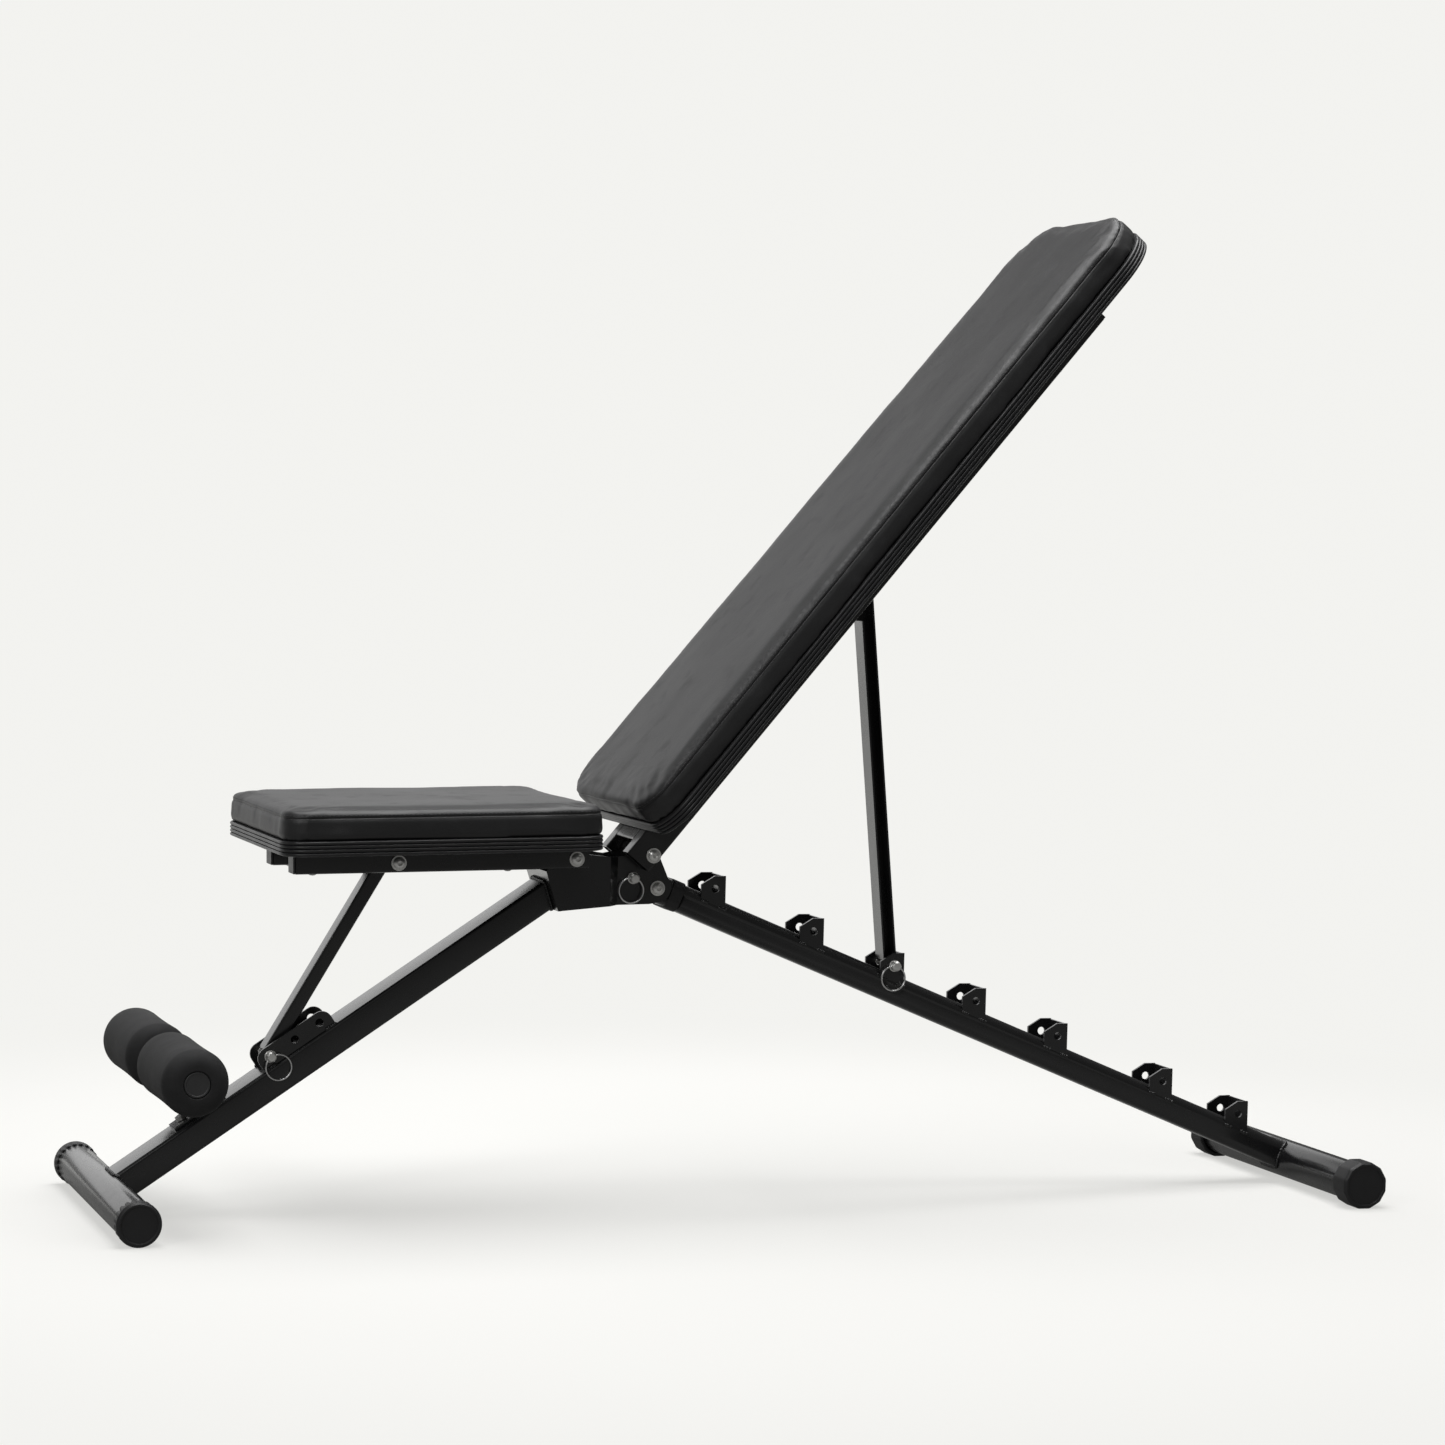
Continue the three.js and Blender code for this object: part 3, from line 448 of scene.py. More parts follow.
front_foot = centre("front_foot_tube")
bar_radius = half_height("front_foot_tube")
front_place = tilted(front_foot, FRONT_RISE)
face_top = front_place.inverted() @ Vector((HUB_FACE_TOP[0], 0, HUB_FACE_TOP[1]))
face_low = front_place.inverted() @ Vector((HUB_FACE_LOW[0], 0, HUB_FACE_LOW[1]))
face_lean = (face_top.x - face_low.x) / (face_top.z - face_low.z)

front_leg = drawn_tube(
    "front_leg", section(LEG_WIDTH, LEG_HEIGHT, FRONT_CORNER),
    section(LEG_WIDTH - 2 * WALL, LEG_HEIGHT - 2 * WALL, FRONT_CORNER - WALL),
    lambda y, z: math.sqrt((bar_radius + GAP) ** 2 - z * z),
    lambda y, z: face_low.x - GAP + face_lean * (z - face_low.z), front_place, black_coat)
fitted(front_leg, "black_steel", "front_leg_tube")


# ---- Rear leg -----------------------------------------------------------------------------
# A 50 by 30 mm tube with well rounded sides runs from the hub down to the rear foot bar. Its
# hub end is rounded to turn between the cheeks, with a notch that hooks over the lock pin,
# and a thin collar is pressed round it just outside the hub.
LEG_CORNER = 0.0100
STUB_REACH = 0.0338
HUB_PIN_REACH = 0.0295
NOTCH_RADIUS = 0.005
NOTCH_MOUTH = 0.0195

rear_foot = centre("rear_foot_tube")
leg_pivot = pivots["rear_leg_fold"]
rear_fall = math.atan2(leg_pivot.z - rear_foot.z, rear_foot.x - leg_pivot.x)
rear_reach = math.hypot(leg_pivot.z - rear_foot.z, rear_foot.x - leg_pivot.x)
rear_place = tilted(leg_pivot, -rear_fall)

rear_leg = drawn_tube(
    "rear_leg", section(LEG_WIDTH, LEG_HEIGHT, LEG_CORNER, 12),
    section(LEG_WIDTH - 2 * WALL, LEG_HEIGHT - 2 * WALL, LEG_CORNER - WALL, 12),
    lambda y, z: -math.sqrt(STUB_REACH ** 2 - z * z),
    lambda y, z: rear_reach - math.sqrt((bar_radius + GAP) ** 2 - z * z), rear_place, black_coat)


notch = [(-HUB_PIN_REACH + NOTCH_RADIUS * math.cos(a), NOTCH_RADIUS * math.sin(a))
         for a in (math.pi * k / 12 for k in range(13))]
notch += [(-HUB_PIN_REACH - 0.015, 0), (-HUB_PIN_REACH - 0.015, -0.03), (-NOTCH_MOUTH, -0.03),
          (-NOTCH_MOUTH, -LEG_HEIGHT / 2)]


def settle(piece):
    """The piece's modifiers become part of its mesh."""
    bpy.context.view_layer.update()
    result = bpy.data.meshes.new_from_object(
        piece.evaluated_get(bpy.context.evaluated_depsgraph_get()))
    piece.modifiers.clear()
    piece.data = result


def carved(piece, cutter):
    """The piece with the cutter's shape taken out of it for good."""
    cut = piece.modifiers.new("cut", "BOOLEAN")
    cut.operation = "DIFFERENCE"
    cut.solver = "EXACT"
    cut.object = cutter
    settle(piece)
    bpy.data.objects.remove(cutter)


carved(rear_leg, skinned("notch", [[(x, y, z) for x, z in notch] for y in (-LEG_WIDTH, LEG_WIDTH)],
                         rear_place, black_coat))
fitted(rear_leg, "black_steel", "rear_leg_tube")

COLLAR = (0.0170, 0.0310)
COLLAR_OVER = 0.0015
collar = drawn_tube(
    "rear_leg_collar",
    section(LEG_WIDTH + 2 * COLLAR_OVER, LEG_HEIGHT + 2 * COLLAR_OVER, LEG_CORNER + 0.001, 12),
    section(LEG_WIDTH + 2 * GAP, LEG_HEIGHT + 2 * GAP, LEG_CORNER, 12),
    lambda y, z: COLLAR[0], lambda y, z: COLLAR[1], rear_place, cap_plastic)
collar_edge = collar.modifiers.new("edge", "BEVEL")
collar_edge.width = 0.0006
collar_edge.segments = 2
fitted(collar, "plastic", "rear_leg_sleeve")


# ---- Pressed and folded steel -------------------------------------------------------------
# The hub, the ladder brackets, the seat bracket, the roller bracket and the struts are cut and
# folded from sheet steel, deburred, and coated with the frame, as is the tie between the rails.
EDGE = 0.0007
STRUT_EDGE = 0.0009
FOLD_ANGLE = math.radians(32)


def deburred(name, node, material, slot="black_steel", edge=EDGE):
    """The node's shape with its edges broken, so that they catch the light."""
    mesh = frame["nodes"][node].data.copy()
    work = bmesh.new()
    work.from_mesh(mesh)
    bmesh.ops.remove_doubles(work, verts=work.verts, dist=0.00001)
    bmesh.ops.dissolve_limit(work, angle_limit=math.radians(1), verts=work.verts, edges=work.edges)
    work.to_mesh(mesh)
    work.free()
    mesh.shade_smooth()
    mesh.materials.clear()
    mesh.materials.append(material)
    made = bpy.data.objects.new(name, mesh)
    scene.collection.objects.link(made)
    bevel = made.modifiers.new("edges", "BEVEL")
    bevel.width = edge
    bevel.segments = 2
    bevel.limit_method = "ANGLE"
    bevel.angle_limit = FOLD_ANGLE
    made.modifiers.new("flats", "WEIGHTED_NORMAL")
    return fitted(made, slot, node)


deburred("hub", "hub_bracket", black_coat)
deburred("seat_ladder", "seat_ladder_bracket", black_coat)
deburred("roller_foot", "roller_bracket", black_coat)
deburred("backrest_prop", "back_strut", black_coat, edge=STRUT_EDGE)
deburred("seat_prop", "seat_strut", black_coat, edge=STRUT_EDGE)
deburred("back_tie", "back_cross_tube", black_coat)
rungs = sorted(node for node in home if node.startswith("ladder_bracket_"))
for step, node in enumerate(rungs):
    deburred(f"ladder_{step + 1}", node, black_coat)


# ---- Seat and back rails ------------------------------------------------------------------
# Thin square and rectangular tubes carry the pads. Their open ends are shut by moulded plugs
# with rounded edges, a little lighter and duller than the coated steel.
RAIL_EDGE = 0.0011
PLUG_EDGE = 0.0009
for node in ("seat_rail_near", "seat_rail_far", "back_rail_near", "back_rail_far"):
    deburred(node.replace("_rail", "_bearer"), node, black_coat, edge=RAIL_EDGE)

plug_plastic = moulded("plug plastic", 0.030, 0.050, 0.34, 0.14, 80, 1200, 2, 0.0001, 0.4)
for node in ("seat_rail_plug_near", "seat_rail_plug_far", "back_rail_plug_near", "back_rail_plug_far"):
    deburred(node.replace("_rail_plug", "_bearer_plug"), node, plug_plastic, "plastic", PLUG_EDGE)


# ---- Welds --------------------------------------------------------------------------------
# Short runs of overlapping weld beads fix the brackets to the legs, the legs to the foot bars
# and the front leg to the hub. They are coated with the rest of the frame.
def new_tree(name, inputs, output):
    """An empty tree with its named inputs, and the function that adds a node to it."""
    tree = bpy.data.node_groups.new(name, "GeometryNodeTree")
    tree.interface.new_socket("Path", in_out="INPUT", socket_type="NodeSocketGeometry")
    for label, kind, value in inputs:
        socket = tree.interface.new_socket(label, in_out="INPUT", socket_type=f"NodeSocket{kind}")
        if value is not None:
            socket.default_value = value
    tree.interface.new_socket(output, in_out="OUTPUT", socket_type="NodeSocketGeometry")

    def node(kind, settings=None, values=None):
        made = tree.nodes.new(kind)
        for label, value in (settings or {}).items():
            setattr(made, label, value)
        for label, value in (values or {}).items():
            if isinstance(value, bpy.types.NodeSocket):
                tree.links.new(value, made.inputs[label])
            else:
                made.inputs[label].default_value = value
        return made.outputs

    return tree, node


def finished(node, geometry, finish, output):
    """The end of every tree: real, smooth geometry in one finish."""
    real = node("GeometryNodeRealizeInstances", None, {"Geometry": geometry})[0]
    smooth = node("GeometryNodeSetShadeSmooth", None, {"Geometry": real})[0]
    coated = node("GeometryNodeSetMaterial", None, {"Geometry": smooth, "Material": finish})[0]
    node("NodeGroupOutput", None, {output: coated})


def bead_tree():
    """Beads strung along the edges of a mesh."""
    tree, node = new_tree("strung beads", (
        ("Spacing", "Float", 0.002), ("Bead Size", "Vector", (0.002, 0.001, 0.001)),
        ("Unevenness", "Float", 0.2), ("Seed", "Int", 1), ("Sides", "Int", 8),
        ("Finish", "Material", None)), "Beads")
    given = node("NodeGroupInput")
    path = node("GeometryNodeMeshToCurve", None, {"Mesh": given["Path"]})[0]
    spots = node("GeometryNodeCurveToPoints", {"mode": "LENGTH"}, {
        "Curve": path, "Length": given["Spacing"]})
    low = node("ShaderNodeMath", {"operation": "SUBTRACT"}, {0: 1.0, 1: given["Unevenness"]})[0]
    high = node("ShaderNodeMath", {"operation": "ADD"}, {0: 1.0, 1: given["Unevenness"]})[0]
    chance = node("FunctionNodeRandomValue", {"data_type": "FLOAT"}, {
        2: low, 3: high, "Seed": given["Seed"]})[1]
    size = node("ShaderNodeVectorMath", {"operation": "SCALE"}, {
        0: given["Bead Size"], "Scale": chance})[0]
    turn = node("FunctionNodeAlignRotationToVector", {"axis": "X"}, {"Vector": spots["Tangent"]})[0]
    bead = node("GeometryNodeMeshUVSphere", None, {
        "Segments": given["Sides"], "Rings": 6, "Radius": 0.5})[0]
    beads = node("GeometryNodeInstanceOnPoints", None, {
        "Points": spots["Points"], "Instance": bead, "Rotation": turn, "Scale": size})[0]
    finished(node, beads, given["Finish"], "Beads")
    return tree


def grown(name, paths, closed, tree, **inputs):
    """What a tree of Geometry Nodes makes of some paths, as a plain mesh."""
    points, edges = [], []
    for path in paths:
        first = len(points)
        points += [tuple(p) for p in path]
        edges += [(k, k + 1) for k in range(first, len(points) - 1)]
        if closed:
            edges.append((len(points) - 1, first))
    mesh = bpy.data.meshes.new(name)
    mesh.from_pydata(points, edges, [])
    made = bpy.data.objects.new(name, mesh)
    scene.collection.objects.link(made)
    nodes = made.modifiers.new("grown", "NODES")
    nodes.node_group = tree
    sockets = {item.name: item.identifier for item in tree.interface.items_tree if item.in_out == "INPUT"}
    for key, value in inputs.items():
        nodes[sockets[key.replace("_", " ")]] = value
    settle(made)
    return made


def on_leg(place, x, y, height):
    """The point straight above or below (x, y) that is at a height over the leg's middle."""
    top = place.inverted() @ Vector((x, y, 1.0))
    low = place.inverted() @ Vector((x, y, 0.0))
    return Vector((x, y, (height - low.z) / (top.z - low.z)))


def coped(place, reach, sign, corner):
    """The seam right round a leg's end, where it meets a foot bar."""
    ride_up = bar_radius + 0.0008
    return [place @ Vector((reach - sign * math.sqrt(ride_up ** 2 - z * z), y, z))
            for y, z in section(LEG_WIDTH + SEAM_OVER, LEG_HEIGHT + SEAM_OVER, corner, 6)]


def welds(name, runs, width, seed, body):
    """Weld beads a little longer than their spacing, so that they overlap."""
    beads = grown(name, runs, False, strung, Spacing=0.0011, Bead_Size=(0.0030, width, width),
                  Unevenness=0.22, Seed=seed, Finish=black_coat)
    fitted(beads, "black_steel", body=body)


SEAM_OVER = 0.001
HOLE_FROM_FRONT = 0.016
EAR_WELD_OUT = LEG_WIDTH / 2 - 0.0005
EAR_WELD_HEIGHT = 0.0070
EAR_FRONT_WELD = (-0.0155, -0.009)
EAR_REAR_WELD = (0.004, 0.0120)
WEB_WELD = (0.0122, 0.0152)
WEB_WELD_HALF = 0.017

strung = bead_tree()
rung_runs = []
for node in rungs:
    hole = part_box(node)[0].x + HOLE_FROM_FRONT
    for y in (-EAR_WELD_OUT, EAR_WELD_OUT):
        for ends in (EAR_FRONT_WELD, EAR_REAR_WELD):
            rung_runs.append([on_leg(rear_place, hole + dx, y, EAR_WELD_HEIGHT) for dx in ends])
    rung_runs.append([on_leg(rear_place, hole + WEB_WELD[0], y, WEB_WELD[1])
                      for y in (-WEB_WELD_HALF, WEB_WELD_HALF)])
rung_runs.append(coped(rear_place, rear_reach, 1, LEG_CORNER))
welds("rear_leg_welds", rung_runs, 0.0038, 11, "rear_leg")

SEAT_BRACKET_WELDS = ((0.2025, 0.2165), (0.2805, 0.2925))
SEAT_BRACKET_WELD_OUT = 0.0226
front_runs = [coped(front_place, 0, -1, FRONT_CORNER)]
for y in (-SEAT_BRACKET_WELD_OUT, SEAT_BRACKET_WELD_OUT):
    for ends in SEAT_BRACKET_WELDS:
        front_runs.append([front_place @ Vector((x, y, LEG_HEIGHT / 2 + 0.0004)) for x in ends])
front_runs.append([
    front_place @ Vector((face_low.x - 0.0012 + face_lean * (z - face_low.z), y, z))
    for y, z in section(LEG_WIDTH + SEAM_OVER, LEG_HEIGHT + SEAM_OVER, FRONT_CORNER, 3)])
welds("front_leg_welds", front_runs, 0.0036, 5, "root")


# ---- Foam rollers -------------------------------------------------------------------------
# Two sleeves of matte black closed-cell foam turn on a steel shaft above the front leg. A
# moulded disc shuts each outer end.
FOAM_BORE = 0.0100
FOAM_ROUND = 0.0165
FOAM_WAIST = 0.0006
PLUG_RADIUS = 0.0133
PLUG_SINK = 0.0011
PLUG_PLATE = 0.0030
PLUG_DEPTH = 0.0160
SHAFT_RADIUS = 0.0095


def cellular_foam():
    """Matte foam with a skin of fine closed cells and faint dents."""
    foam = new_finish("black foam")
    cells = foam.node("ShaderNodeTexVoronoi", None, {"Vector": foam.place(), "Scale": 1100})
    lumps = foam.cloud(90, 5)
    dents = foam.cloud(22, 3)
    skin = foam.bumped(lumps, 0.0004, 0.35)
    return foam.surface(
        Base_Color=foam.mixed(lumps, (0.016, 0.016, 0.0165), (0.030, 0.030, 0.031)),
        Roughness=0.66 + 0.18 * dents,
        Specular_IOR_Level=0.32,
        Normal=foam.bumped(cells, 0.00022, 0.45, skin))


foam_skin = cellular_foam()
roller_axis = pivots["roller_near_spin"]
shaft_low, shaft_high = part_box("roller_shaft")
fitted(turned("roller_axle", softened([
    (SHAFT_RADIUS, shaft_low.y), (SHAFT_RADIUS, shaft_high.y),
    (SHAFT_RADIUS - WALL, shaft_high.y), (SHAFT_RADIUS - WALL, shaft_low.y)], 0.0004, True),
    Matrix.Translation((roller_axis.x, 0, roller_axis.z)), black_coat, 48, True),
    "black_steel", "roller_shaft")

for side, sign in (("near", -1), ("far", 1)):
    low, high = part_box(f"foam_roller_{side}")
    outer = max(abs(low.y), abs(high.y))
    length = high.y - low.y
    radius = half_height(f"foam_roller_{side}")
    round_end = [(radius - FOAM_ROUND * (1 - math.sin(angle)), FOAM_ROUND * (1 - math.cos(angle)))
                 for angle in (k * math.pi / 24 for k in range(13))]
    waist = [(radius - FOAM_WAIST * math.sin(math.pi * k / 8),
              FOAM_ROUND + k * (length - 2 * FOAM_ROUND) / 8) for k in range(1, 8)]
    shoulder = [(FOAM_BORE, 0.0045), (PLUG_RADIUS + 0.0006, 0.0045), (PLUG_RADIUS + 0.0006, 0.0006),
                (PLUG_RADIUS + 0.0016, 0), *round_end, *waist]
    shoulder += [(reach, length - y) for reach, y in reversed(round_end)]
    shoulder += [(FOAM_BORE + 0.0005, length), (FOAM_BORE, length - 0.0005)]
    place = facing((roller_axis.x, sign * outer, roller_axis.z), sign)
    sleeve = turned(f"foam_{side}", shoulder, place, foam_skin, 96, True)
    fitted(sleeve, "foam", f"foam_roller_{side}")
    disc = turned(f"roller_disc_{side}", softened([
        (0, PLUG_SINK), (PLUG_RADIUS - 0.0024, PLUG_SINK), (PLUG_RADIUS - 0.0018, 0.0003),
        (PLUG_RADIUS - 0.0006, 0.0003), (PLUG_RADIUS, PLUG_SINK), (PLUG_RADIUS, PLUG_PLATE),
        (SHAFT_RADIUS - 0.0023, PLUG_PLATE), (SHAFT_RADIUS - 0.0023, PLUG_DEPTH), (0, PLUG_DEPTH)],
        0.0005), place, plug_plastic, 64)
    fitted(disc, "plastic", f"roller_plug_{side}")


# ---- Bolts, nuts and spacers --------------------------------------------------------------
# Zinc-plated 8 mm bolts with domed heads and washers are the pivots of the seat, the backrest,
# the rear leg and the two props. Their lock nuts are on the far side.
def zinc_plate():
    """Bright zinc with a faint brushed grain and a warm cast in patches."""
    plate = new_finish("zinc plate")
    cast = plate.cloud(120, 4)
    grain = plate.cloud(700, 3, plate.stretched((1, 6, 1)))
    return plate.surface(
        Base_Color=plate.mixed(cast, (0.74, 0.74, 0.73), (0.93, 0.92, 0.89)),
        Metallic=0.85,
        Roughness=0.26 + 0.20 * cast,
        Normal=plate.bumped(grain, 0.00004, 0.35))


zinc = zinc_plate()
WASHER_RADIUS = 0.0082
WASHER = 0.0016
HEAD = 0.0046
BOLT_RADIUS = 0.004
DRIVE_RADIUS = 0.0023
DRIVE_DEPTH = 0.0026


def domed_bolt(node):
    """A domed head with a drive recess, its washer and its shank, along Y."""
    low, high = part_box(node)
    middle = (low + high) / 2
    length = high.y - low.y - WASHER - HEAD
    profile = softened([
        (0, -WASHER - HEAD + DRIVE_DEPTH), (DRIVE_RADIUS, -WASHER - HEAD + DRIVE_DEPTH),
        (DRIVE_RADIUS + 0.0002, -WASHER - HEAD),
        (0.0042, -WASHER - 0.0038), (0.0060, -WASHER - 0.0024), (0.0066, -WASHER),
        (0.0069, -WASHER), (WASHER_RADIUS, -WASHER), (WASHER_RADIUS, 0), (BOLT_RADIUS, 0),
        (BOLT_RADIUS, length), (0, length)], 0.0004)
    bolt = turned(node.replace("_bolt", "_screw"), profile,
                  Matrix.Translation((middle.x, low.y + WASHER + HEAD, middle.z)), zinc, 48)
    fitted(bolt, "zinc", node)


for node in sorted(home):
    if node.endswith("_bolt"):
        domed_bolt(node)
    elif node.endswith("_nut"):
        deburred(node.replace("_nut", "_locknut"), node, zinc, "zinc", 0.0004)
    elif "_spacer_" in node:
        deburred(node.replace("_spacer", "_sleeve"), node, zinc, "zinc", 0.0003)
deburred("roller_foot_screw", "roller_bracket_screw", zinc, "zinc", 0.0004)


# ---- Pull pins and rings ------------------------------------------------------------------
# Steel quick-release pins lock the seat prop, the backrest prop and the hub. Each head is
# turned and cross-drilled, and a split ring of spring wire hangs in the hole.
PIN_HEAD = 0.0055
PIN_HEAD_LENGTH = 0.008
PIN_FLANGE = 0.0065
PIN_FLANGE_WIDTH = 0.001
EYE_RADIUS = 0.0026
EYE_SIDES = 20
DRILL_HALF = 0.009
RING_STEPS = 72
RING_SPREAD = 2.15
RING_RADIUS = 0.0135
RING_WIRE = 0.00082
RING_TURNS = 2
RING_TILT = {"seat": math.radians(36), "hub": math.radians(-15), "back": math.radians(-12)}


def spring_wire():
    """Polished spring steel."""
    wire = new_finish("spring wire")
    rub = wire.cloud(500, 3)
    return wire.surface(
        Base_Color=wire.mixed(rub, (0.84, 0.84, 0.84), (0.96, 0.96, 0.95)),
        Metallic=1.0,
        Roughness=0.24 + 0.16 * rub)


def wire_tree():
    """Round wire drawn along the edges of a mesh, and copied in even steps."""
    tree, node = new_tree("drawn wire", (
        ("Wire Radius", "Float", 0.001), ("Sides", "Int", 12), ("Copies", "Int", 1),
        ("Step", "Vector", (0, 0, 0)), ("Finish", "Material", None)), "Wire")
    given = node("NodeGroupInput")
    path = node("GeometryNodeMeshToCurve", None, {"Mesh": given["Path"]})[0]
    round_wire = node("GeometryNodeCurvePrimitiveCircle", None, {
        "Resolution": given["Sides"], "Radius": given["Wire Radius"]})[0]
    drawn = node("GeometryNodeCurveToMesh", None, {
        "Curve": path, "Profile Curve": round_wire, "Fill Caps": True})[0]
    line = node("GeometryNodeMeshLine", None, {"Count": given["Copies"], "Offset": given["Step"]})[0]
    copies = node("GeometryNodeInstanceOnPoints", None, {"Points": line, "Instance": drawn})[0]
    finished(node, copies, given["Finish"], "Wire")
    return tree


spring_steel = spring_wire()
wire = wire_tree()
for name in ("seat", "hub", "back"):
    eye = pivots[f"{name}_ring_swing"]
    low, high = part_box(f"{name}_lock_pin")
    head_end = -PIN_HEAD_LENGTH - PIN_FLANGE_WIDTH
    seat_y = low.y - head_end
    length = high.y - seat_y
    shank = turned(f"{name}_pin", softened([
        (0, head_end), (PIN_HEAD - 0.0015, head_end), (PIN_HEAD, -PIN_HEAD_LENGTH + 0.0008),
        (PIN_HEAD, -0.0012), (PIN_FLANGE, -0.0012),
        (PIN_FLANGE, 0), (BOLT_RADIUS, 0), (BOLT_RADIUS, length - 0.002), (0.0024, length),
        (0, length)], 0.0004), Matrix.Translation((eye.x, seat_y, eye.z)), zinc, 48)
    tilt = RING_TILT[name]
    across = Vector((math.cos(tilt), 0, math.sin(tilt)))
    down = Vector((math.sin(tilt), 0, -math.cos(tilt)))
    turns = [2 * math.pi * k / EYE_SIDES for k in range(EYE_SIDES)]
    drill = [[eye + across * side + Vector((0, math.cos(a), 0)) * EYE_RADIUS
              - down * EYE_RADIUS * math.sin(a) for a in turns] for side in (-DRILL_HALF, DRILL_HALF)]
    carved(shank, skinned("eye drill", drill, Matrix.Identity(4), zinc))
    fitted(shank, "zinc", f"{name}_lock_pin")
    heart = eye + down * RING_RADIUS
    loop = []
    last = RING_TURNS * RING_STEPS
    for k in range(last + 1):
        angle = 2 * math.pi * k / RING_STEPS
        lift = (k / last - 0.5) * RING_SPREAD * RING_WIRE
        loop.append(heart + across * RING_RADIUS * math.sin(angle) - down * RING_RADIUS * math.cos(angle)
                    + Vector((0, lift, 0)))
    ring = grown(f"{name}_ring", [loop], False, wire, Wire_Radius=RING_WIRE, Sides=12, Finish=spring_steel)
    fitted(ring, "zinc", f"{name}_lock_ring")


# ---- Pad boards ---------------------------------------------------------------------------
# Each pad stands on a 16 mm board. A ribbed black moulding runs round its edge, and its back is
# covered with felt, with the leather of the cushion turned over and stapled down.
SEAT_RISE = math.radians(1.1)
BACK_RISE = math.radians(50.1)
SEAT_PAD = dict(front=-0.331, rear=0.011, wide=0.308, end_wide=0.308, corner=0.030, end_corner=0.030)
BACK_PAD = dict(front=0.014, rear=0.858, wide=0.302, end_wide=0.276, corner=0.045, end_corner=0.064)
BOARD = 0.016
FLAP = 0.0008
FLAP_REACH = 0.024
RIBS = 4
RIB_RADIUS = 0.0019
RIB_PITCH = 0.0039
FIRST_RIB = 0.0022
STAPLE_INSET = 0.015
STAPLE_PITCH = 0.030
STAPLE_HALF = 0.0052
FINE_PITCH = 0.002
SEAT_BOARD_LOW = 0.0152
BACK_BOARD_LOW = 0.0243
SEAM_HEIGHT = 0.0225

seat_place = tilted(pivots["seat_tilt"], SEAT_RISE)
back_place = tilted(pivots["backrest_recline"], BACK_RISE)


def pad_outline(front, rear, wide, end_wide, corner, end_corner, inset=0.0):
    """The plan of a pad: two ends of their own width, with round corners, as points of (x, y)."""
    steps = 10
    half = wide / 2 - inset
    end_half = end_wide / 2 - inset
    posts = [(front + inset, -half, corner), (rear - inset, -end_half, end_corner),
             (rear - inset, end_half, end_corner), (front + inset, half, corner)]
    path = []
    for i, (x, y, radius) in enumerate(posts):
        here = Vector((x, y))
        back = (Vector(posts[i - 1][:2]) - here).normalized()
        ahead = (Vector(posts[(i + 1) % 4][:2]) - here).normalized()
        round_off = max(radius - inset, 0.002)
        half_angle = math.acos(back.dot(ahead)) / 2
        middle = here + (back + ahead).normalized() * (round_off / math.sin(half_angle))
        start = here + back * (round_off / math.tan(half_angle)) - middle
        end = here + ahead * (round_off / math.tan(half_angle)) - middle
        turn = math.atan2(start.x * end.y - start.y * end.x, start.dot(end))
        first = math.atan2(start.y, start.x)
        path += [(middle.x + round_off * math.cos(first + turn * k / steps),
                  middle.y + round_off * math.sin(first + turn * k / steps)) for k in range(steps + 1)]
    return path


def nearest(path, x, y):
    """The point of a path that is nearest to (x, y)."""
    return min(path, key=lambda point: (point[0] - x) ** 2 + (point[1] - y) ** 2)


def evenly(path, pitch):
    """The closed path with points at an even pitch."""
    points = np.array(list(path) + [path[0]])
    run = np.concatenate([[0], np.cumsum(np.linalg.norm(np.diff(points, axis=0), axis=1))])
    stops = np.linspace(0, run[-1], max(8, round(run[-1] / pitch)), endpoint=False)
    return [tuple(float(np.interp(stop, run, points[:, axis])) for axis in range(2)) for stop in stops]


def layered(name, layers, place, material):
    """A solid skinned over flat outlines, each given with its height."""
    return skinned(name, [[(x, y, z) for x, y in path] for path, z in layers], place, material)


def backing_felt():
    """Thin black needle felt with loose fibres."""
    felt = new_finish("backing felt")
    fibres = felt.cloud(420, 6, felt.stretched((1, 3, 1)))
    mats = felt.cloud(45, 4)
    return felt.surface(
        Base_Color=felt.mixed(fibres, (0.010, 0.010, 0.0105), (0.032, 0.032, 0.034)),
        Roughness=0.84 + 0.12 * mats,
        Normal=felt.bumped(fibres, 0.0005, 0.6))


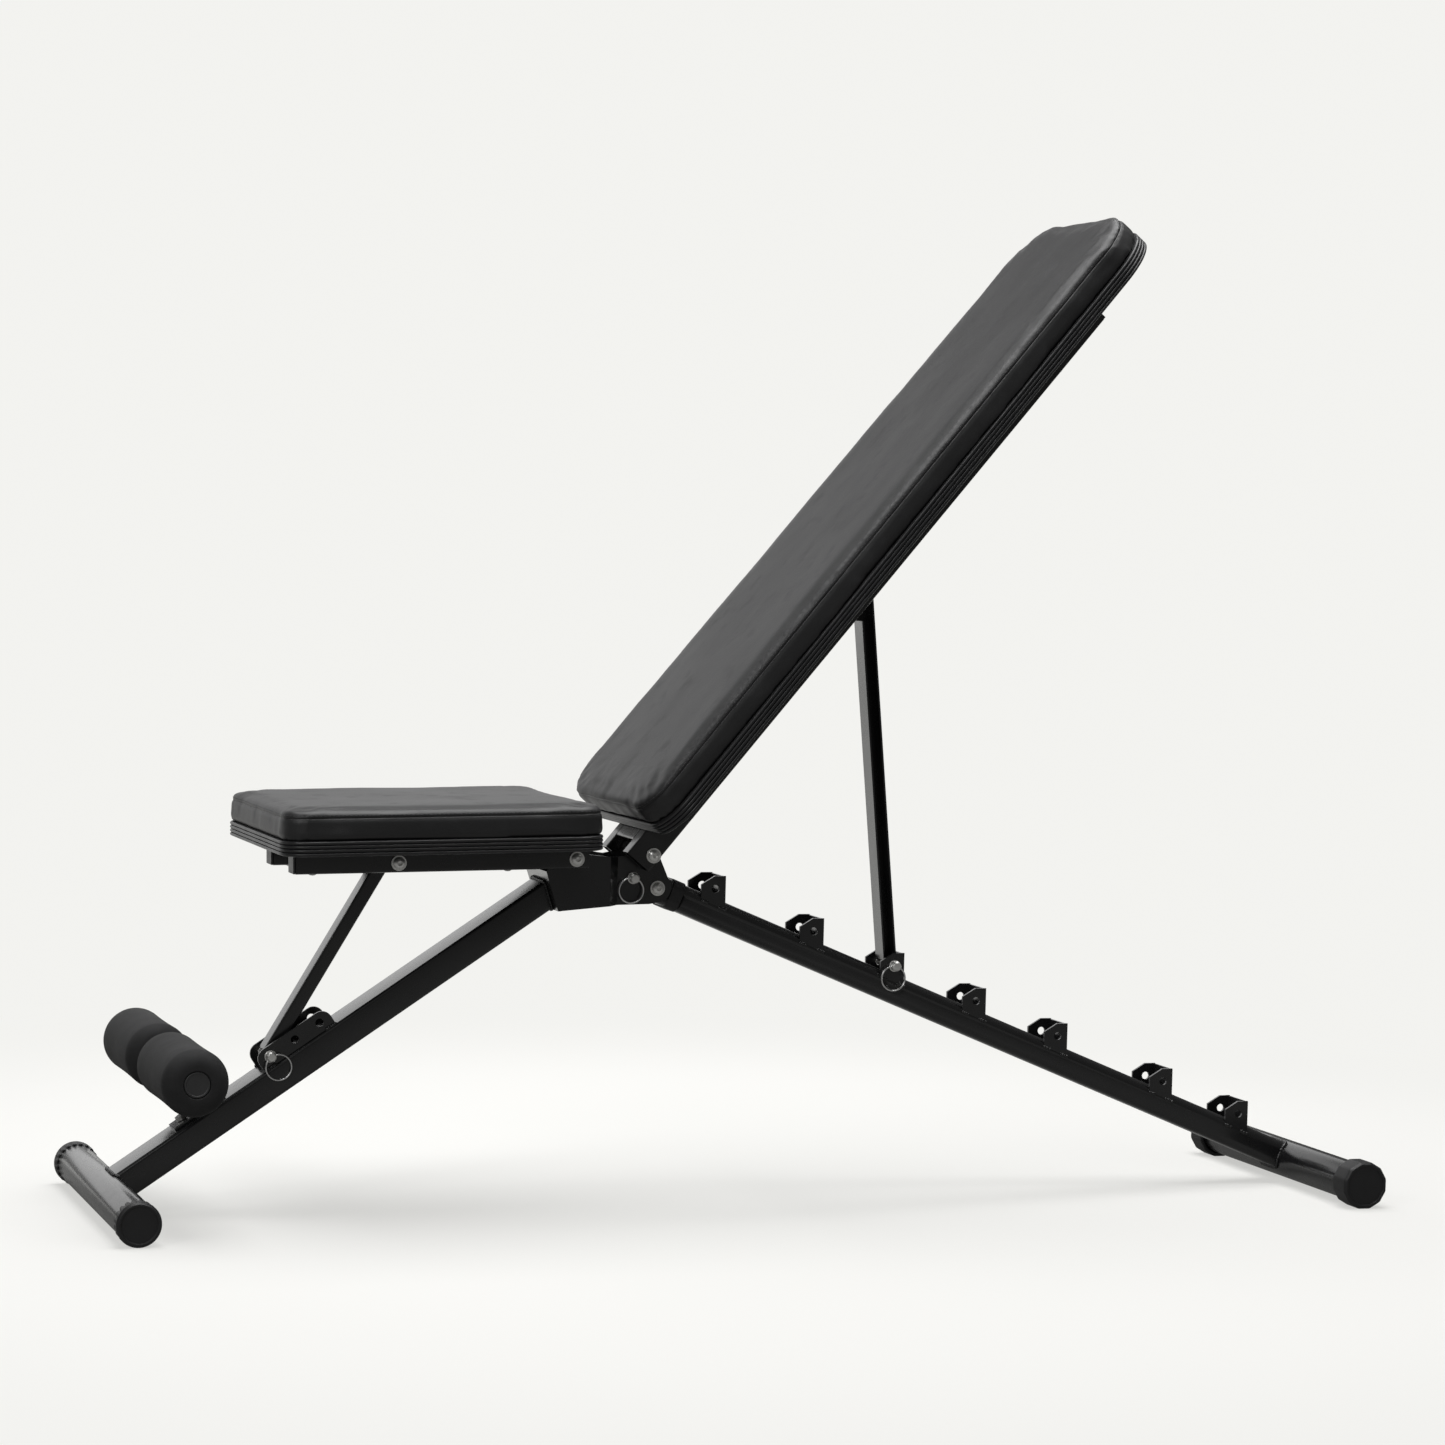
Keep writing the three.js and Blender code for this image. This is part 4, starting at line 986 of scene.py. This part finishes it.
def pad_leather(name, place, rise, seam):
    """Black coated leathercloth: pebbled grain, soft creases, and a sewn groove at a height, with painted shade
    darkening the colour along the groove.
    """
    skin = new_finish(name)
    local = skin.node("ShaderNodeMapping", {"vector_type": "TEXTURE"}, {
        "Vector": skin.place(), "Location": tuple(place.translation), "Rotation": (0, -rise, 0)})
    height = skin.node("ShaderNodeSeparateXYZ", None, {0: local}, out="Z")
    off_seam = skin.node("ShaderNodeMath", {"operation": "ABSOLUTE"}, {0: height - seam})
    # 0 on the seam and 1 away from it: it sinks the sewn groove, and it darkens the colour there as painted shade.
    groove_and_painted_shade = skin.node("ShaderNodeMapRange", {"interpolation_type": "SMOOTHSTEP"}, {
        "Value": off_seam, "From Min": 0.0, "From Max": 0.0011, "To Min": 0.0, "To Max": 1.0})
    pebbles = skin.node("ShaderNodeTexVoronoi", {"feature": "SMOOTH_F1"}, {
        "Vector": local, "Scale": 820, "Smoothness": 0.35})
    creases = skin.node("ShaderNodeTexNoise", None, {
        "Vector": local, "Scale": 95, "Detail": 7, "Roughness": 0.62, "Distortion": 0.7})
    drift = skin.cloud(7, 4, local)
    scuffs = skin.node("ShaderNodeValToRGB", {"stops": [(0.56, 0.0), (0.74, 1.0)]}, {
        0: skin.cloud(38, 7, local)})
    fine = skin.bumped(pebbles, 0.00016, 0.5)
    creased = skin.bumped(creases, 0.0006, 0.30, fine)
    # Random tone and scuffs, taken down to the darkest tone along the seam as painted shade in its groove.
    tone = drift * 0.7 + scuffs * 0.25
    return skin.surface(
        Base_Color=skin.mixed(tone * groove_and_painted_shade, (0.013, 0.013, 0.0135), (0.029, 0.029, 0.030)),
        Roughness=0.40 + 0.12 * drift + 0.08 * scuffs,
        Specular_IOR_Level=0.45,
        Normal=skin.bumped(groove_and_painted_shade, 0.0009, 0.8, creased))


felt = backing_felt()
moulding = moulded("edge moulding", 0.012, 0.022, 0.30, 0.16, 40, 900, 2, 0.00008, 0.4)
pads = (
    ("seat", SEAT_PAD, seat_place, SEAT_RISE, SEAT_BOARD_LOW),
    ("back", BACK_PAD, back_place, BACK_RISE, BACK_BOARD_LOW))
leathers = {name: pad_leather(f"{name} leather", place, rise, low + BOARD + GAP + SEAM_HEIGHT)
            for name, _, place, rise, low in pads}


def board_core(name, plan, place, low):
    """The board, a little smaller than the moulding round it."""
    core = layered(f"{name}_board_core", [
        (evenly(pad_outline(**plan, inset=0.0030), 0.012), low + FLAP + 0.0001),
        (evenly(pad_outline(**plan, inset=0.0022), 0.012), low + FLAP + 0.0009),
        (evenly(pad_outline(**plan, inset=0.0022), 0.012), low + BOARD)], place, felt)
    fitted(core, "board", f"{name}_board")


def ribbed_edge(name, plan, place, low):
    """Half-round ribs one over another round the board."""
    outline = evenly(pad_outline(**plan, inset=RIB_RADIUS), 0.006)
    rib = [place @ Vector((x, y, low + FIRST_RIB)) for x, y in outline]
    step = place.to_3x3() @ Vector((0, 0, RIB_PITCH))
    ribs = grown(f"{name}_edge_moulding", [rib], True, wire, Wire_Radius=RIB_RADIUS, Sides=12,
                 Copies=RIBS, Step=tuple(step), Finish=moulding)
    fitted(ribs, "board", body=home[f"{name}_board"])


def turned_leather(name, plan, place, low):
    """The leather's edge on the board's back, cut a little unevenly."""
    outer = evenly(pad_outline(**plan, inset=0.0034), 0.008)
    cut_line = evenly(pad_outline(**plan, inset=FLAP_REACH), FINE_PITCH)
    inner = []
    for x, y in outer:
        near = nearest(cut_line, x, y)
        ragged = 1 + 0.10 * noise.noise(Vector((x * 40, y * 40, 3.0)))
        inner.append((x + (near[0] - x) * ragged, y + (near[1] - y) * ragged))
    top = low + FLAP
    flap = skinned(f"{name}_turned_leather", [
        [(*p, z) for p in path] for path, z in ((outer, low), (inner, low), (inner, top), (outer, top))],
        place, leathers[name], True)
    fitted(flap, "leather", body=home[f"{name}_board"])


def staple_row(name, plan, place, low):
    """The crowns of the staples, end to end along the turned leather."""
    staples = []
    proud = place.to_3x3() @ Vector((0, 0, -0.0002))
    loop = evenly(pad_outline(**plan, inset=STAPLE_INSET), STAPLE_PITCH)
    for k, (x, y) in enumerate(loop):
        ahead = Vector(loop[(k + 1) % len(loop)]) - Vector((x, y))
        ahead = ahead.normalized() * STAPLE_HALF
        staples.append([place @ Vector((x + sign * ahead.x, y + sign * ahead.y, low)) + proud
                        for sign in (-1, 1)])
    crowns = grown(f"{name}_staples", staples, False, wire, Wire_Radius=0.0004, Sides=6, Finish=zinc)
    fitted(crowns, "zinc", body=home[f"{name}_board"])


for name, plan, place, _, low in pads:
    board_core(name, plan, place, low)
    ribbed_edge(name, plan, place, low)
    turned_leather(name, plan, place, low)
    staple_row(name, plan, place, low)


# ---- Board screws -------------------------------------------------------------------------
# Pan-head screws go up through the rails into the boards, with their heads on the rails' free
# faces.
SCREW_HEAD = (0.0046, 0.0092, 0.0092)
SEAT_RAIL = dict(y=0.055, z=0.0149 - 0.025, stops=(-0.281, -0.072))
BACK_RAIL = dict(y=0.040, z=-0.008, stops=(0.06, 0.29, 0.50, 0.70))


def board_screws(name, place, y, z, stops):
    """Flat domes on the rails' free faces, a pair at each stop."""
    heads = [[place @ Vector((x, side * y, z)), place @ Vector((x, side * y, z - 0.0005))]
             for x in stops for side in (-1, 1)]
    screws = grown(f"{name}_board_screws", heads, False, strung, Spacing=0.001, Bead_Size=SCREW_HEAD,
                   Unevenness=0.0, Seed=1, Sides=20, Finish=zinc)
    fitted(screws, "zinc", body=home[f"{name}_board"])


board_screws("seat", seat_place, **SEAT_RAIL)
board_screws("back", back_place, **BACK_RAIL)


# ---- Cushions -----------------------------------------------------------------------------
# Foam slabs 30 mm thick are covered in black leathercloth, pulled down over the board's edge.
# A sewn seam joins the top panel to the side band, and the band creases where it is pulled.
THICKNESS = 0.030
EDGE_ROUND = 0.0085
FOOT_INSET = 0.0016
START_INSET = 0.0008
TOP_RISE = 0.0004
HELD_HEIGHT = 0.003
VOXEL = {"seat": 0.0040, "back": 0.0050}
CREASE_SEED = {"seat": 2.0, "back": 7.0}
STITCH = (0.0034, 0.0007, 0.0007)
STITCH_PITCH = 0.0046
STITCH_ABOVE_SEAM = 0.0026
CAP = 0.0026
INWARD_SHARE = 0.2
PRESSURE = 4.0
SIM_FRAMES = 20


def swollen(piece, bottom, place):
    """The piece blown up a little by its own pressure, with its bottom face held flat."""
    inverse = place.inverted()
    rest = np.array([tuple(vertex.co) for vertex in piece.data.vertices])
    held = piece.vertex_groups.new(name="held")
    held.add([v.index for v in piece.data.vertices if (inverse @ v.co).z < bottom + HELD_HEIGHT],
             1.0, "REPLACE")
    cloth = piece.modifiers.new("swell", "CLOTH")
    cloth.settings.quality = 4
    cloth.settings.use_pressure = True
    cloth.settings.uniform_pressure_force = PRESSURE
    cloth.settings.vertex_group_mass = "held"
    cloth.settings.effector_weights.gravity = 0
    cloth.point_cache.frame_start = 1
    cloth.point_cache.frame_end = SIM_FRAMES
    for step in range(1, SIM_FRAMES + 1):
        scene.frame_set(step)
    shaped = piece.evaluated_get(bpy.context.evaluated_depsgraph_get()).to_mesh()
    moved = np.array([tuple(vertex.co) for vertex in shaped.vertices]) - rest
    normals = np.array([tuple(vertex.normal) for vertex in piece.data.vertices])
    outward = np.einsum("ij,ij->i", moved, normals)
    moved *= np.where(outward < 0, INWARD_SHARE, 1.0)[:, None]
    reach = np.maximum(np.linalg.norm(moved, axis=1), 1e-9)
    rest += moved * np.minimum(1, CAP / reach)[:, None]
    piece.modifiers.clear()
    piece.vertex_groups.clear()
    piece.data.vertices.foreach_set("co", rest.ravel())
    scene.frame_set(1)


def creased(piece, plan, place, bottom, top, seed):
    """Folds, puckers and the seam's groove, moved into the surface along its normals."""
    inverse = place.inverted()
    spin = inverse.to_3x3()
    ends = [(x, y) for x in (plan["front"], plan["rear"])
            for y in (-plan["wide"] / 2, plan["wide"] / 2)]
    for vertex, normal in zip(piece.data.vertices, [v.normal.copy() for v in piece.data.vertices]):
        here = inverse @ vertex.co
        face = spin @ normal
        side = max(0.0, 1 - abs(face.z)) ** 0.7
        lift = (here.z - bottom) / (top - bottom)
        if lift < 0.04:
            continue
        near_end = min(math.hypot(here.x - x, here.y - y) for x, y in ends)
        pull = math.exp(-(near_end / 0.055) ** 2)
        band = noise.noise(Vector((here.x * 62, here.y * 62, here.z * 9 + seed)))
        slow = noise.noise(Vector((here.x * 13, here.y * 13, seed + 4.0)))
        fold = noise.noise(Vector((here.x * 30 + here.z * 25, here.y * 30 - here.z * 18, seed + 9.0)))
        move = side * (0.0005 + 0.0007 * pull) * band * (1.2 - lift)
        move += side * 0.0006 * fold
        move += (1 - side) * (0.0009 * slow + 0.00025 * fold)
        if here.x < plan["front"] + 0.05 and plan is BACK_PAD:
            move += side * 0.0011 * fold + 0.0004 * band
        rim = (here.z - bottom - SEAM_HEIGHT) / 0.0019
        move -= side * 0.0013 * math.exp(-rim * rim)
        vertex.co += normal * move


def thread():
    """Black bonded nylon thread with a twist."""
    yarn = new_finish("thread")
    twist = yarn.cloud(2600, 2)
    return yarn.surface(
        Base_Color=yarn.mixed(twist, (0.020, 0.020, 0.021), (0.060, 0.060, 0.062)),
        Roughness=0.45 + 0.2 * twist,
        Normal=yarn.bumped(twist, 0.0001, 0.5))


yarn = thread()


def ring(plan, inset):
    """The pad's outline drawn in, with as many points whatever the inset."""
    count = len(evenly(pad_outline(**plan), 0.008))
    path = evenly(pad_outline(**plan, inset=inset), FINE_PITCH)
    return [path[round(k * len(path) / count) % len(path)] for k in range(count)]


for name, plan, place, _, low in pads:
    bottom = low + BOARD + GAP
    top = bottom + THICKNESS
    shell = [(ring(plan, FOOT_INSET), bottom), (ring(plan, START_INSET), bottom + HELD_HEIGHT)]
    for k in range(7):
        angle = k * math.pi / 12
        shell.append((ring(plan, START_INSET + EDGE_ROUND * (1 - math.cos(angle))),
                      top + TOP_RISE - EDGE_ROUND * (1 - math.sin(angle))))
    cushion = layered(f"{name}_pad", shell, place, leathers[name])
    voxels = cushion.modifiers.new("voxels", "REMESH")
    voxels.mode = "VOXEL"
    voxels.voxel_size = VOXEL[name]
    settle(cushion)
    swollen(cushion, bottom, place)
    finer = cushion.modifiers.new("finer", "SUBSURF")
    finer.levels = 1
    finer.render_levels = 1
    settle(cushion)
    creased(cushion, plan, place, bottom, top, CREASE_SEED[name])
    cushion.data.shade_smooth()
    cushion.data.materials.clear()
    cushion.data.materials.append(leathers[name])
    fitted(cushion, "leather", f"{name}_cushion")

    surface = BVHTree.FromPolygons([v.co for v in cushion.data.vertices],
                                   [tuple(p.vertices) for p in cushion.data.polygons])
    sewn = []
    height = bottom + SEAM_HEIGHT + STITCH_ABOVE_SEAM
    heart = evenly(pad_outline(**plan, inset=0.03), FINE_PITCH)
    for x, y in evenly(pad_outline(**plan, inset=-0.02), 0.003):
        start = place @ Vector((x, y, height))
        aim = (place @ Vector((*nearest(heart, x, y), height))) - start
        hit = surface.ray_cast(start, aim.normalized())[0]
        if hit:
            sewn.append(hit)
    stitches = grown(
        f"{name}_stitches", [sewn], True, strung, Spacing=STITCH_PITCH, Bead_Size=STITCH,
        Unevenness=0.08, Seed=3, Sides=6, Finish=yarn)
    fitted(stitches, "leather", body=home[f"{name}_board"])
